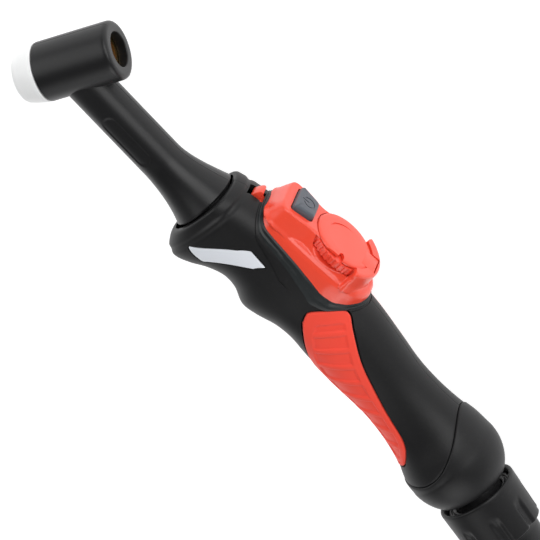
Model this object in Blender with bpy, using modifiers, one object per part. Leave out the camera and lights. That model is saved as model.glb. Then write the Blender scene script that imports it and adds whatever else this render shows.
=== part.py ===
"""Air-cooled TIG torch handset with an amperage control module.

The torch lies on its side: +X runs along the neck and handle to the cable end,
+Y points to the control module and +Z to the side with the open view.
Sizes are in millimetres until metres() turns them into Blender units.
"""
import math

import bmesh
import bpy
from mathutils import Matrix, Vector

MM = 0.001
GAP = 0.3

# Head and neck
HEAD_ANGLE = 70.0
HEAD_RADIUS = 11.0
HEAD_FRONT = 10.2
HEAD_REAR = 19.9
HEAD_BORE_RADIUS = 6.5
BRASS_RADIUS = 7.0
BRASS_BORE_RADIUS = 4.6
GASKET_LENGTH = 9.2
GASKET_TIP_RADIUS = 8.3
NECK_RADIUS = 8.1
NECK_STRAIGHT_END = 48.0
BELL_RADIUS = 12.8
BELL_END = 69.0
BELL_RISE = 1.2
SPIGOT_RADIUS = 10.6
SPIGOT_END = 84.0
TUBE_RADIUS = 4.5
TUBE_BORE_RADIUS = 2.8
TUBE_END = 92.0
NECK_SIDES = 24

# Handle
HANDLE_FRONT = 70.4
HANDLE_WALL = 2.4
PARTING_GAP = 0.15
RIB_SET_BACK = 0.4
RIB_THICKNESS = 2.2
BELLY_CENTRE_X = 203.0
BALL_CENTRE_Y = 0.85
COVER_RADIUS = 18.85
COVER_WALL = 1.9
COVER_STEP = 0.4
COVER_OPENING_RADIUS = 13.7
SEAM_SIDE_X = 200.3
SEAM_BOW = 7.9
SEAM_LOW_SIDE = 0.25
SHELL_STEPS = 20
HALF_STEPS = 10
TONGUE_LENGTH = 4.5
TONGUE_WALL = 1.2
TONGUE_GAP = 0.6
SCREW_RADIUS = 1.5
SCREW_HEAD_RADIUS = 2.9
SCREW_HEAD_HEIGHT = 2.0
SCREW_SEAT_Z = -5.0
SCREW_TIP_Z = 6.0
SCREW_PLACES = ((78.0, -15.2), (150.0, 12.5), (176.0, -3.2))

# Cable end
TAIL_ANGLE = -9.0
BALL_RADIUS = COVER_RADIUS - HANDLE_WALL - 2.25
BALL_BORE_RADIUS = 7.0
BALL_NECK_RADIUS = 9.5
SEAT_FIT = 0.976
COLLAR_MOUTH = BALL_RADIUS + 0.7
COLLAR_LENGTH = 44.0
COLLAR_RADIUS = 15.5
COLLAR_TAIL_RADIUS = 11.2
COLLAR_WALL = 1.7
LOBE_COUNT = 8

# Control module, in its own frame: X along, Z up from the wheel's middle
MODULE_TILT = 5.5
WHEEL_CENTRE = (112.8, 28.4)
WHEEL_RADIUS = 13.4
WHEEL_HALF_THICKNESS = 1.5
WHEEL_RIBS = 40
CAP_RADIUS = WHEEL_RADIUS - 1.0
CAP_THICKNESS = 1.2
DECK_TOP = 2.2
ARC_TOP = 3.2
ARC_RADIUS = WHEEL_RADIUS + 3.2
BUTTON_REAR = -WHEEL_RADIUS - 1.2
BUTTON_FRONT = BUTTON_REAR - 9.0
BUTTON_FRONT_HALF = 7.4
BUTTON_REAR_HALF = 5.2
BUTTON_TOP = 4.0
BUTTON_TRAVEL = 1.2
MODULE_FRONT = BUTTON_FRONT - 7.0
MODULE_REAR = WHEEL_RADIUS + 7.4
MODULE_HALF_WIDTH = WHEEL_RADIUS + 0.9
MODULE_WALL = 1.7
MODULE_LOW = -19.0
WHEEL_FLOOR = -WHEEL_HALF_THICKNESS - GAP
CAP_LOW = WHEEL_HALF_THICKNESS + GAP
CAP_TOP = CAP_LOW + CAP_THICKNESS
ROOF_LOW = WHEEL_FLOOR - 1.8
DECK_LOW = DECK_TOP - 1.6
GASKET_HEIGHT = 1.2
SPINDLE_RADIUS = 3.0
POT_RADIUS = 7.8
BOARD_TOP = -9.8
BOARD_THICKNESS = 1.5
BOARD_HALF_WIDTH = MODULE_HALF_WIDTH - 6.7
BOARD_SCREWS = ((-11.2, BOARD_HALF_WIDTH - 2.2), (-11.2, 2.2 - BOARD_HALF_WIDTH))

# Stations along the handle: x, top, bottom, half width, squareness of the upper half
BULGE_TOP = BALL_CENTRE_Y + COVER_RADIUS
BULGE_BOTTOM = BALL_CENTRE_Y - COVER_RADIUS
STATIONS = (
    (69.6, 15.7, -15.2, 14.5, 2.1),
    (74.0, 17.6, -21.0, 14.7, 2.1),
    (78.0, 18.6, -22.2, 14.9, 2.2),
    (83.0, 19.4, -19.7, 15.0, 2.4),
    (88.0, 20.0, -15.6, 15.2, 2.6),
    (94.0, 20.4, -12.5, 15.4, 2.7),
    (100.0, 20.7, -12.5, 15.6, 2.8),
    (107.0, 21.0, -15.3, 15.8, 2.8),
    (113.0, 21.2, -14.0, 15.8, 2.7),
    (120.0, 21.6, -11.0, 15.6, 2.5),
    (127.0, 22.0, -9.8, 15.5, 2.3),
    (135.0, 22.0, -10.3, 15.4, 2.1),
    (143.0, 21.5, -10.6, 15.0, 2.0),
    (155.0, 19.7, -10.4, 14.2, 2.0),
    (167.0, 17.8, -9.9, 13.7, 2.0),
    (178.0, 17.5, -10.9, 14.0, 2.0),
    (188.0, BULGE_TOP - 1.5, BULGE_BOTTOM + 4.8, COVER_RADIUS - 3.55, 2.0),
    (196.0, BULGE_TOP - 0.4, BULGE_BOTTOM + 1.4, COVER_RADIUS - 1.15, 2.0),
    (BELLY_CENTRE_X, BULGE_TOP, BULGE_BOTTOM, COVER_RADIUS, 2.0),
)

# Outline of a side grip: x, lower angle, upper angle
GRIP_EDGES = (
    (121.6, 7.0, 10.0),
    (126.0, -9.0, 29.0),
    (131.3, -28.0, 49.0),
    (137.0, -46.0, 39.0),
    (144.0, -62.0, 27.0),
    (151.0, -74.0, 17.0),
    (160.0, -79.0, 8.0),
    (173.0, -79.0, -5.0),
    (184.0, -76.0, -16.0),
    (190.5, -66.0, -40.0),
)
GRIP_THICKNESS = 1.5
GRIP_PROUD = 0.4
GRIP_GAP = 0.4

# Name plate: lower and upper edge angle, and x of its front edge there
PLATE_LOW = (-31.0, 76.6)
PLATE_HIGH = (21.0, 91.6)
PLATE_WIDTH = 7.8
PLATE_THICKNESS = 0.5


def start_clean():
    for item in list(bpy.data.objects):
        bpy.data.objects.remove(item)


def new_collection(name):
    group = bpy.data.collections.new(name)
    bpy.context.scene.collection.children.link(group)
    return group


start_clean()
PARTS = new_collection("tig_torch")
CUTTERS = new_collection("cutters")


def material(name, colour, roughness, metallic=0.0):
    mat = bpy.data.materials.new(name)
    mat.use_nodes = True
    shader = mat.node_tree.nodes["Principled BSDF"]
    shader.inputs["Base Color"].default_value = (*colour, 1.0)
    shader.inputs["Roughness"].default_value = roughness
    shader.inputs["Metallic"].default_value = metallic
    return mat


FINISHES = {
    "rubber": ((0.012, 0.012, 0.013), 0.38, 0.0),
    "handle": ((0.016, 0.016, 0.017), 0.55, 0.0),
    "red": ((0.86, 0.085, 0.045), 0.42, 0.0),
    "grip": ((0.80, 0.07, 0.04), 0.62, 0.0),
    "white": ((0.85, 0.86, 0.87), 0.35, 0.0),
    "grey": ((0.11, 0.12, 0.14), 0.5, 0.0),
    "dark": ((0.03, 0.03, 0.032), 0.6, 0.0),
    "brass": ((0.75, 0.52, 0.22), 0.3, 1.0),
    "copper": ((0.80, 0.42, 0.28), 0.3, 1.0),
    "steel": ((0.55, 0.55, 0.56), 0.3, 1.0),
    "board": ((0.03, 0.2, 0.07), 0.5, 0.0),
}


def frame(name, x, y, turn, parent=None):
    """An empty at a place in the torch's middle plane, whose axes are given as a matrix."""
    empty = bpy.data.objects.new(name, None)
    PARTS.objects.link(empty)
    empty.matrix_world = Matrix.Translation(Vector((x, y, 0.0)) * MM) @ turn
    if parent:
        empty.parent = parent
    return empty


def axes(along, side, up):
    return Matrix((along, side, up)).transposed().to_4x4()


def plane_direction(angle):
    return Vector((math.cos(math.radians(angle)), math.sin(math.radians(angle)), 0.0))


UP = Vector((0.0, 0.0, 1.0))
FLAT = Matrix.Identity(4)


def turned_axes(angle):
    """Z lies in the middle plane at this angle, and X in the plane too."""
    direction = plane_direction(angle)
    return axes(UP.cross(direction), UP, direction)


TORCH = frame("torch_frame", 0.0, 0.0, FLAT)
HEAD = frame("head_axis", 0.0, 0.0, turned_axes(HEAD_ANGLE), TORCH)
NECK = frame("neck_axis", 0.0, 0.0, turned_axes(0.0), TORCH)
TAIL = frame("tail_axis", BELLY_CENTRE_X, BALL_CENTRE_Y, turned_axes(TAIL_ANGLE), TORCH)
MODULE_UP = plane_direction(90.0 + MODULE_TILT)
MODULE_ALONG = plane_direction(MODULE_TILT)
MODULE = frame("module_frame", *WHEEL_CENTRE,
               axes(MODULE_ALONG, -UP, MODULE_UP), TORCH)


def add_object(name, mesh, parent, finish):
    piece = bpy.data.objects.new(name, mesh)
    piece.parent = parent
    if finish == "cutter":
        CUTTERS.objects.link(piece)
        piece.hide_render = True
        piece.display_type = "WIRE"
        return piece
    PARTS.objects.link(piece)
    mesh.materials.append(material(name + "_finish", *FINISHES[finish]))
    return piece


def smooth_mesh(mesh, angle=35.0):
    mesh.shade_smooth()
    mesh.set_sharp_from_angle(angle=math.radians(angle))


def turned(name, profile, parent, finish, steps=24, place=(0.0, 0.0, 0.0)):
    """A profile of (radius, height) points, outer side first and running down."""
    mesh = bpy.data.meshes.new(name)
    solid = min(radius for radius, _ in profile) == 0.0
    count = len(profile)
    links = [(i, i + 1) for i in range(count - 1)]
    if not solid:
        links.append((count - 1, 0))
    mesh.from_pydata([(r * MM, 0.0, h * MM) for r, h in profile], links, [])
    piece = add_object(name, mesh, parent, finish)
    piece.location = Vector(place) * MM
    screw = piece.modifiers.new("turn", "SCREW")
    screw.steps = steps
    screw.render_steps = steps
    screw.use_merge_vertices = True
    screw.merge_threshold = 0.00001
    screw.use_smooth_shade = True
    return piece


def arc_points(centre_r, centre_h, radius, start, end, count):
    """Points on an arc of a turned profile, its angles measured from the outward radius."""
    points = []
    for i in range(count + 1):
        angle = math.radians(start + (end - start) * i / count)
        points.append((centre_r + radius * math.cos(angle), centre_h + radius * math.sin(angle)))
    return points


def loft(name, rings, parent, finish, strip=False, around=False):
    """Join rings of points; strip caps the ends of a wall, around joins the last to the first."""
    bm = bmesh.new()
    rows = [[bm.verts.new(Vector(p) * MM) for p in ring] for ring in rings]
    size = len(rows[0])
    following_rows = rows[1:] + rows[:1] if around else rows[1:]
    for row, following in zip(rows, following_rows):
        for i in range(size):
            j = (i + 1) % size
            bm.faces.new((row[i], row[j], following[j], following[i]))
    for row in () if around else (rows[0], rows[-1]):
        if strip:
            for i in range(size // 2 - 1):
                bm.faces.new((row[i], row[i + 1], row[size - 2 - i], row[size - 1 - i]))
        else:
            bm.faces.new(row)
    bmesh.ops.recalc_face_normals(bm, faces=bm.faces)
    bmesh.ops.triangulate(bm, faces=bm.faces)
    mesh = bpy.data.meshes.new(name)
    bm.to_mesh(mesh)
    bm.free()
    smooth_mesh(mesh)
    return add_object(name, mesh, parent, finish)


def extruded(name, outline, low, high, parent, finish, draft=0.0):
    """An outline of (x, y) points between two heights; draft pulls the top in."""
    top = outline if draft == 0.0 else inset_outline(outline, draft)
    rings = [[(x, y, low) for x, y in outline], [(x, y, high) for x, y in top]]
    return loft(name, rings, parent, finish)


def inset_outline(outline, distance):
    """Each point moves along the mean normal of its two sides."""
    result = []
    count = len(outline)
    area = sum(outline[i][0] * outline[(i + 1) % count][1]
               - outline[(i + 1) % count][0] * outline[i][1] for i in range(count))
    turn = 1.0 if area > 0.0 else -1.0
    for i in range(count):
        before = Vector(outline[i - 1])
        here = Vector(outline[i])
        after = Vector(outline[(i + 1) % count])
        direction = ((here - before).normalized() + (after - here).normalized()).normalized()
        normal = Vector((-direction.y, direction.x)) * turn
        result.append(tuple(here + normal * distance))
    return result


def cut(piece, *cutters, operation="DIFFERENCE", solver="EXACT"):
    for cutter in cutters:
        step = piece.modifiers.new(cutter.name, "BOOLEAN")
        step.solver = solver
        step.operation = operation
        step.object = cutter
    return piece


def bar(name, low, high, parent, finish, bevel=0.0):
    """A box between two corners."""
    bm = bmesh.new()
    bmesh.ops.create_cube(bm, size=1.0)
    size = Vector([b - a for a, b in zip(low, high)]) * MM
    middle = Vector([(a + b) / 2.0 for a, b in zip(low, high)]) * MM
    bmesh.ops.scale(bm, vec=size, verts=bm.verts)
    bmesh.ops.translate(bm, vec=middle, verts=bm.verts)
    mesh = bpy.data.meshes.new(name)
    bm.to_mesh(mesh)
    bm.free()
    piece = add_object(name, mesh, parent, finish)
    if bevel:
        edge = piece.modifiers.new("edge", "BEVEL")
        edge.width = bevel * MM
        edge.segments = 1
    return piece


def rod(name, radius, low, high, parent, finish="cutter", place=(0.0, 0.0), steps=24):
    profile = [(0.0, high), (radius, high), (radius, low), (0.0, low)]
    return turned(name, profile, parent, finish, steps, (*place, 0.0))


def smooth_value(keys, column, x):
    """A smooth curve through the keys' values in one column."""
    if x <= keys[0][0]:
        return keys[0][column]
    if x >= keys[-1][0]:
        return keys[-1][column]
    index = max(i for i in range(len(keys) - 1) if keys[i][0] <= x)

    def slope(i):
        low = max(i - 1, 0)
        high = min(i + 1, len(keys) - 1)
        return (keys[high][column] - keys[low][column]) / (keys[high][0] - keys[low][0])

    a, b = keys[index], keys[index + 1]
    span = b[0] - a[0]
    t = (x - a[0]) / span
    rise = (2 * t ** 3 - 3 * t ** 2 + 1) * a[column] + (3 * t ** 2 - 2 * t ** 3) * b[column]
    lean = (t ** 3 - 2 * t ** 2 + t) * slope(index) + (t ** 3 - t ** 2) * slope(index + 1)
    return rise + lean * span


def skin_point(x, angle, inset, split=0.0):
    """A point on the handle: angle 90 is the module side, 0 the +Z side, -90 the belly."""
    top, bottom, half, square = (smooth_value(STATIONS, c, x) for c in (1, 2, 3, 4))
    widest = BALL_CENTRE_Y + (BELLY_CENTRE_X - x) * 0.035
    sine = math.sin(math.radians(angle))
    cosine = math.cos(math.radians(angle))
    power = 2.0 / (square if sine > 0.0 else 2.0)
    reach = (top - widest if sine > 0.0 else widest - bottom) - inset
    y = widest + math.copysign(reach * abs(sine) ** power, sine)
    z = split + (half - inset - split) * abs(cosine) ** power
    return (x, y, math.copysign(z, cosine) if abs(cosine) > 1e-9 else z)


def half_angles(count):
    return [-90.0 + 180.0 * i / count for i in range(count + 1)]


def seam_x(angle):
    """Where the handle shells end and the rear cover starts."""
    return SEAM_SIDE_X - SEAM_BOW * (math.sin(math.radians(angle)) + SEAM_LOW_SIDE) ** 2


def shell_ring(x_of, wall_in, wall_out=0.0):
    outer = [skin_point(x_of(a), a, wall_out, PARTING_GAP) for a in half_angles(HALF_STEPS)]
    inner = [skin_point(x_of(a), a, wall_in, PARTING_GAP) for a in half_angles(HALF_STEPS)]
    return outer + inner[::-1]


def mirrored(points, side):
    return [(x, y, z * side) for x, y, z in points]


def handle_shell(name, side):
    rings = []
    for i in range(SHELL_STEPS + 1):
        share = (i / SHELL_STEPS) ** 1.15

        def station(angle, share=share):
            end = seam_x(angle) - GAP
            return HANDLE_FRONT + (end - HANDLE_FRONT) * share
        rings.append(mirrored(shell_ring(station, HANDLE_WALL), side))
    return loft(name, rings, TORCH, "handle", strip=True)


def shell_rib(name, x, bore, side):
    """A half disc inside a shell that grips a round piece."""
    depth = HANDLE_WALL * 0.6
    face = PARTING_GAP + RIB_SET_BACK
    outline = [skin_point(x, a, depth, face) for a in half_angles(HALF_STEPS)]
    inner = []
    for angle in half_angles(HALF_STEPS):
        turn = math.radians(angle)
        across = max(bore * math.cos(turn), face)
        inner.append((x, BELL_RISE + bore * math.sin(turn), across))
    ring = mirrored(outline + inner[::-1], side)
    rings = [[(px + step, y, z) for px, y, z in ring] for step in (0.0, RIB_THICKNESS)]
    return loft(name, rings, TORCH, "cutter", strip=True)


def envelope(name, proud, last_x=180.0):
    """The handle's whole outer form, grown by proud, used to trim what sits on it."""
    rings = []
    first_x = STATIONS[0][0] - 6.0
    steps = 30
    for i in range(steps + 1):
        x = first_x + (last_x - first_x) * i / steps
        right = [skin_point(x, a, -proud) for a in half_angles(16)]
        left = [(px, y, -z) for px, y, z in right[1:-1]]
        rings.append(right + left[::-1])
    return loft(name, rings, TORCH, "cutter")


def skin_patch(name, place, rows, columns, outer, inner, side, finish):
    """A plate that follows the handle; place(u, v) gives its x and angle."""
    layers = []
    for inset in (outer, inner):
        grid = []
        for i in range(rows + 1):
            line = []
            for j in range(columns + 1):
                x, angle = place(i / rows, j / columns)
                line.append(skin_point(x, angle, inset))
            grid.append(mirrored(line, side))
        layers.append(grid)
    rings = [top + under[::-1] for top, under in zip(*layers)]
    return loft(name, rings, TORCH, finish, strip=True)


def grip_place(grow):
    first = GRIP_EDGES[0][0] - grow
    last = GRIP_EDGES[-1][0] + grow

    def place(u, v):
        x = first + (last - first) * u
        turn = math.degrees(grow / 14.5)
        low = smooth_value(GRIP_EDGES, 1, x) - turn
        high = smooth_value(GRIP_EDGES, 2, x) + turn
        return x, low + (high - low) * v
    return place


def plate_place(grow):
    def place(u, v):
        turn = math.degrees(grow / 15.0)
        low_angle = PLATE_LOW[0] - turn
        high_angle = PLATE_HIGH[0] + turn
        angle = low_angle + (high_angle - low_angle) * u
        share = (angle - PLATE_LOW[0]) / (PLATE_HIGH[0] - PLATE_LOW[0])
        front = PLATE_LOW[1] + (PLATE_HIGH[1] - PLATE_LOW[1]) * share - grow
        return front + (PLATE_WIDTH + 2.0 * grow) * v, angle
    return place


# Head and neck: a brass body and a copper tube in one rubber moulding

def bell_share(x):
    return min(max((x - NECK_STRAIGHT_END) / (BELL_END - NECK_STRAIGHT_END), 0.0), 1.0)


def neck_ring(x, radius):
    share = bell_share(x)
    rise = BELL_RISE * share * share * (3.0 - 2.0 * share)
    turn = [2.0 * math.pi * i / NECK_SIDES for i in range(NECK_SIDES)]
    return [(x, rise + radius * math.sin(a), radius * math.cos(a)) for a in turn]


def neck_radius(x):
    share = bell_share(x)
    return NECK_RADIUS + (BELL_RADIUS - NECK_RADIUS) * share ** 1.7


def head_and_neck():
    edge = 3.2
    profile = [(0.0, HEAD_REAR)]
    profile += arc_points(HEAD_RADIUS - edge, HEAD_REAR - edge, edge, 90.0, 0.0, 5)
    profile += [(HEAD_RADIUS, -HEAD_FRONT), (0.0, -HEAD_FRONT)]
    head = turned("head_and_neck", profile, HEAD, "rubber", 28)
    flare = [NECK_STRAIGHT_END + (BELL_END - NECK_STRAIGHT_END) * i / 5 for i in range(6)]
    rings = [neck_ring(x, neck_radius(x)) for x in [0.0] + flare]
    rings.append(neck_ring(BELL_END + 0.9, BELL_RADIUS - 0.9))
    rings.append(neck_ring(BELL_END + 0.9, SPIGOT_RADIUS))
    rings.append(neck_ring(SPIGOT_END, SPIGOT_RADIUS))
    neck = loft("neck_form", rings, TORCH, "cutter")
    cut(head, neck, operation="UNION")
    core = turned("head_core", [
        (0.0, HEAD_REAR + 1.0), (HEAD_BORE_RADIUS, HEAD_REAR + 1.0),
        (HEAD_BORE_RADIUS, HEAD_REAR - 3.6), (BRASS_RADIUS + GAP, HEAD_REAR - 3.6),
        (BRASS_RADIUS + GAP, -HEAD_FRONT - 1.0), (0.0, -HEAD_FRONT - 1.0)], HEAD, "cutter", 24)
    tube_way = rod("tube_way", TUBE_RADIUS + GAP, 1.0, SPIGOT_END + 1.0, NECK)
    cut(head, core, tube_way)


def head_inside():
    front = HEAD_FRONT + GASKET_LENGTH - 1.9
    turned("head_body", [
        (BRASS_RADIUS, HEAD_REAR - 3.9), (BRASS_RADIUS, -front),
        (BRASS_BORE_RADIUS, -front), (BRASS_BORE_RADIUS, 6.0),
        (BRASS_BORE_RADIUS + 0.8, 7.0), (BRASS_BORE_RADIUS + 0.8, HEAD_REAR - 3.9)],
        HEAD, "brass", 24)
    turned("neck_tube", [
        (TUBE_RADIUS, TUBE_END), (TUBE_RADIUS, BRASS_RADIUS + 2.6),
        (TUBE_BORE_RADIUS, BRASS_RADIUS + 2.6), (TUBE_BORE_RADIUS, TUBE_END)],
        NECK, "copper", 20)
    start = SPIGOT_END + GAP
    turned("cable_stud", [
        (4.2, 111.5), (4.2, 98.0), (6.4, 98.0), (6.4, start),
        (TUBE_RADIUS + GAP, start), (TUBE_RADIUS + GAP, TUBE_END + GAP),
        (1.6, TUBE_END + GAP), (1.6, 111.5)], NECK, "brass", 20)


def cup_gasket():
    base = -HEAD_FRONT - GAP
    tip = base - GASKET_LENGTH
    edge = 2.2
    profile = [(HEAD_RADIUS, base), (HEAD_RADIUS - 0.2, base - 1.6)]
    profile += arc_points(GASKET_TIP_RADIUS - edge + 0.5, tip + edge, edge, -8.0, -90.0, 4)
    profile += [(5.4, tip), (5.4, tip + 1.4), (BRASS_RADIUS + GAP, tip + 1.4),
                (BRASS_RADIUS + GAP, base)]
    turned("cup_gasket", profile, HEAD, "white", 28)


# Handle: two half shells, a rear cover, grips and name plates

def shell_boss(name, place, side, radius, inside):
    """A screw post from near the parting plane into the shell's wall."""
    low, high = sorted((side * (PARTING_GAP + RIB_SET_BACK / 2.0), side * COVER_RADIUS))
    post = rod(name, radius, low, high, TORCH, "cutter", place, 12)
    return cut(post, inside, operation="INTERSECT")


def base_outline(grow=0.0):
    """The module's foot print in its own frame."""
    half = [
        (MODULE_FRONT, 4.8), (MODULE_FRONT + 0.8, MODULE_HALF_WIDTH - 6.2),
        (MODULE_FRONT + 2.3, MODULE_HALF_WIDTH - 3.6),
        (MODULE_FRONT + 4.8, MODULE_HALF_WIDTH - 1.9), (-19.0, MODULE_HALF_WIDTH - 1.2),
        (-12.0, MODULE_HALF_WIDTH - 0.6), (-4.0, MODULE_HALF_WIDTH - 0.1),
        (5.0, MODULE_HALF_WIDTH), (11.0, MODULE_HALF_WIDTH - 0.9),
        (MODULE_REAR - 5.0, MODULE_HALF_WIDTH - 3.4),
        (MODULE_REAR - 1.8, MODULE_HALF_WIDTH - 6.9), (MODULE_REAR, 3.0)]
    outline = half + [(x, -y) for x, y in half[::-1]]
    return inset_outline(outline, -grow)


def handle_shells():
    opening = extruded("module_opening", base_outline(-3.6), MODULE_LOW, 3.0, MODULE, "cutter")
    inside = envelope("boss_limit", -HANDLE_WALL / 2.0, SCREW_PLACES[-1][0] + 12.0)
    slot = bar("latch_slot", (75.8, 14.0, -3.2), (90.6, 24.0, 3.2), TORCH, "cutter")
    for side, word in ((1.0, "right"), (-1.0, "left")):
        shell = handle_shell("handle_shell_" + word, side)
        ribs = [shell_rib(f"rib_{word}_{n}", x, SPIGOT_RADIUS - 2.0, side)
                for n, x in enumerate((74.0, 80.4), 1)]
        boss_radius = 3.4 if side > 0.0 else SCREW_HEAD_RADIUS + 1.5
        bosses = [shell_boss(f"boss_{word}_{n}", place, side, boss_radius, inside)
                  for n, place in enumerate(SCREW_PLACES, 1)]
        cut(shell, *ribs, *bosses, operation="UNION")
        spigot = rod("spigot_way_" + word, SPIGOT_RADIUS + GAP, 72.0, 85.0, NECK,
                     place=(BELL_RISE, 0.0), steps=32)
        holes = []
        for n, place in enumerate(SCREW_PLACES, 1):
            name = f"screw_way_{word}_{n}"
            if side > 0.0:
                holes.append(rod(name, SCREW_RADIUS + GAP, -1.0, SCREW_TIP_Z + GAP,
                                 TORCH, "cutter", place, 12))
            else:
                holes.append(turned(name, [
                    (0.0, 1.0), (SCREW_RADIUS + GAP, 1.0), (SCREW_RADIUS + GAP, SCREW_SEAT_Z),
                    (SCREW_HEAD_RADIUS + GAP, SCREW_SEAT_Z), (SCREW_HEAD_RADIUS + GAP, -24.0),
                    (0.0, -24.0)], TORCH, "cutter", 12, (*place, 0.0)))
        grip_bed = skin_patch("grip_bed_" + word, grip_place(GRIP_GAP), 14, 4, -2.0,
                              GRIP_THICKNESS - GRIP_PROUD + GAP, side, "cutter")
        plate_bed = skin_patch("plate_bed_" + word, plate_place(GAP), 5, 2, -2.0,
                               PLATE_THICKNESS + 0.2, side, "cutter")
        cut(shell, spigot, opening, slot, grip_bed, plate_bed)
        cut(shell, *holes, solver="MANIFOLD")
        skin_patch("grip_insert_" + word, grip_place(0.0), 14, 4, -GRIP_PROUD,
                   GRIP_THICKNESS - GRIP_PROUD, side, "grip")
        skin_patch("name_plate_" + word, plate_place(0.0), 5, 2, -0.1,
                   PLATE_THICKNESS - 0.1, side, "white")


def handle_screws():
    seat = SCREW_SEAT_Z - GAP
    head = seat - SCREW_HEAD_HEIGHT
    for n, place in enumerate(SCREW_PLACES, 1):
        turned(f"handle_screw_{n}", [
            (0.0, SCREW_TIP_Z), (0.7, SCREW_TIP_Z), (SCREW_RADIUS, SCREW_TIP_Z - 1.5),
            (SCREW_RADIUS, seat), (SCREW_HEAD_RADIUS, seat), (SCREW_HEAD_RADIUS, head),
            (1.3, head), (1.1, head + 1.1), (0.0, head + 1.1)],
            TORCH, "steel", 12, (*place, 0.0))


def rear_cover():
    centre = Vector((BELLY_CENTRE_X, BALL_CENTRE_Y, 0.0))
    tongue_out = HANDLE_WALL + TONGUE_GAP
    tongue_in = tongue_out + TONGUE_WALL
    inner_radius = COVER_RADIUS - COVER_WALL
    opening_out = math.degrees(math.asin(COVER_OPENING_RADIUS / COVER_RADIUS))
    opening_in = math.degrees(math.asin(COVER_OPENING_RADIUS / inner_radius))

    def dome(radius, polar, angle, last_polar):
        share = (90.0 - polar) / (90.0 - last_polar)
        along = plane_direction(TAIL_ANGLE * share)
        across = plane_direction(TAIL_ANGLE * share + 90.0)
        turn = math.radians(angle)
        ring = across * math.sin(turn) + UP * math.cos(turn)
        bend = math.radians(polar)
        return centre + (along * math.cos(bend) + ring * math.sin(bend)) * radius

    rings = []
    count = 28
    for i in range(count):
        angle = -90.0 + 360.0 * i / count
        seam = seam_x(angle)
        run = BELLY_CENTRE_X - seam
        ring = [skin_point(seam - TONGUE_LENGTH, angle, tongue_out),
                skin_point(seam, angle, tongue_out), skin_point(seam, angle, -COVER_STEP * 0.6),
                skin_point(seam + 0.3, angle, -COVER_STEP)]
        for step in range(1, 4):
            share = step / 3
            ring.append(skin_point(seam + 0.3 + (run - 0.3) * share, angle,
                                   -COVER_STEP * (1.0 - share)))
        ring += [dome(COVER_RADIUS, 90.0 + (opening_out - 90.0) * step / 4, angle, opening_out)
                 for step in range(1, 5)]
        ring += [dome(inner_radius, opening_in + (90.0 - opening_in) * step / 3, angle,
                      opening_in) for step in range(3)]
        ring += [skin_point(seam + 1.5 + (run - 1.5) * share, angle, COVER_WALL)
                 for share in (1.0, 0.5, 0.1)]
        ring += [skin_point(seam + 1.2, angle, tongue_in),
                 skin_point(seam - TONGUE_LENGTH, angle, tongue_in)]
        rings.append(ring)
    loft("rear_cover", rings, TORCH, "handle", around=True)


# Cable end: a hollow ball in a turning seat, and the collar that grips the cable

def cable_end():
    shoulder = math.sqrt(BALL_RADIUS ** 2 - BALL_NECK_RADIUS ** 2)
    start = math.degrees(math.atan2(shoulder, BALL_NECK_RADIUS))
    hollow = BALL_RADIUS - 1.8
    neck_end = COLLAR_MOUTH + 21.0
    profile = [(BALL_NECK_RADIUS, neck_end)]
    profile += arc_points(0.0, 0.0, BALL_RADIUS, start, -12.0, 6)
    profile += arc_points(0.0, 0.0, hollow, -13.5, 50.0, 4)
    profile += [(BALL_BORE_RADIUS, 12.0), (BALL_BORE_RADIUS, neck_end)]
    turned("swivel_ball", profile, TAIL, "dark", 24)

    bearing = BALL_RADIUS + GAP
    low, high = 0.6, 7.2
    outer = (COVER_RADIUS - COVER_WALL) * SEAT_FIT
    profile = [(math.sqrt(outer ** 2 - high ** 2), high), (outer, low)]
    profile += arc_points(0.0, 0.0, bearing, math.degrees(math.asin(low / bearing)),
                          math.degrees(math.asin(high / bearing)), 4)
    turned("ball_seat_ring", profile, TAIL, "grey", 24)

    mouth = COLLAR_MOUTH
    tail = mouth + COLLAR_LENGTH
    mouth_bore = COLLAR_RADIUS - COLLAR_WALL
    grip_end = mouth + 19.5
    collar = turned("cable_collar", [
        (COLLAR_TAIL_RADIUS, tail), (12.7, grip_end + 0.6), (14.1, grip_end),
        (14.4, mouth + 6.0), (COLLAR_RADIUS - 0.2, mouth + 5.4), (COLLAR_RADIUS, mouth + 4.4),
        (COLLAR_RADIUS, mouth + 0.6), (COLLAR_RADIUS - 0.5, mouth), (mouth_bore, mouth),
        (mouth_bore, mouth + 9.6), (BALL_NECK_RADIUS + GAP, mouth + 9.6),
        (BALL_NECK_RADIUS + GAP, neck_end + GAP), (7.6, neck_end + GAP), (7.6, tail)],
        TAIL, "handle", 32)
    lobes = []
    for lobe in range(LOBE_COUNT):
        middle = 360.0 * lobe / LOBE_COUNT
        for step, radius in ((-19.0, 13.5), (-12.0, COLLAR_RADIUS - 0.4),
                             (0.0, COLLAR_RADIUS - 0.2), (12.0, COLLAR_RADIUS - 0.4),
                             (19.0, 13.5)):
            turn = math.radians(middle + step)
            lobes.append((radius * math.cos(turn), radius * math.sin(turn)))
    lobed = extruded("collar_lobes", lobes, mouth + 6.4, grip_end - 0.3, TAIL, "cutter")
    lobe_core = rod("collar_lobe_core", mouth_bore + 0.05, mouth, tail, TAIL)
    cut(lobed, lobe_core)
    cut(collar, lobed, operation="UNION")
    turned("collar_lock_ring", [
        (mouth_bore - GAP, mouth + 8.6), (mouth_bore - GAP, mouth + 2.6),
        (BALL_NECK_RADIUS + 1.4, mouth + 1.8), (BALL_NECK_RADIUS + GAP, mouth + 2.4),
        (BALL_NECK_RADIUS + GAP, mouth + 8.6)], TAIL, "dark", 24)


# Control module

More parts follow.
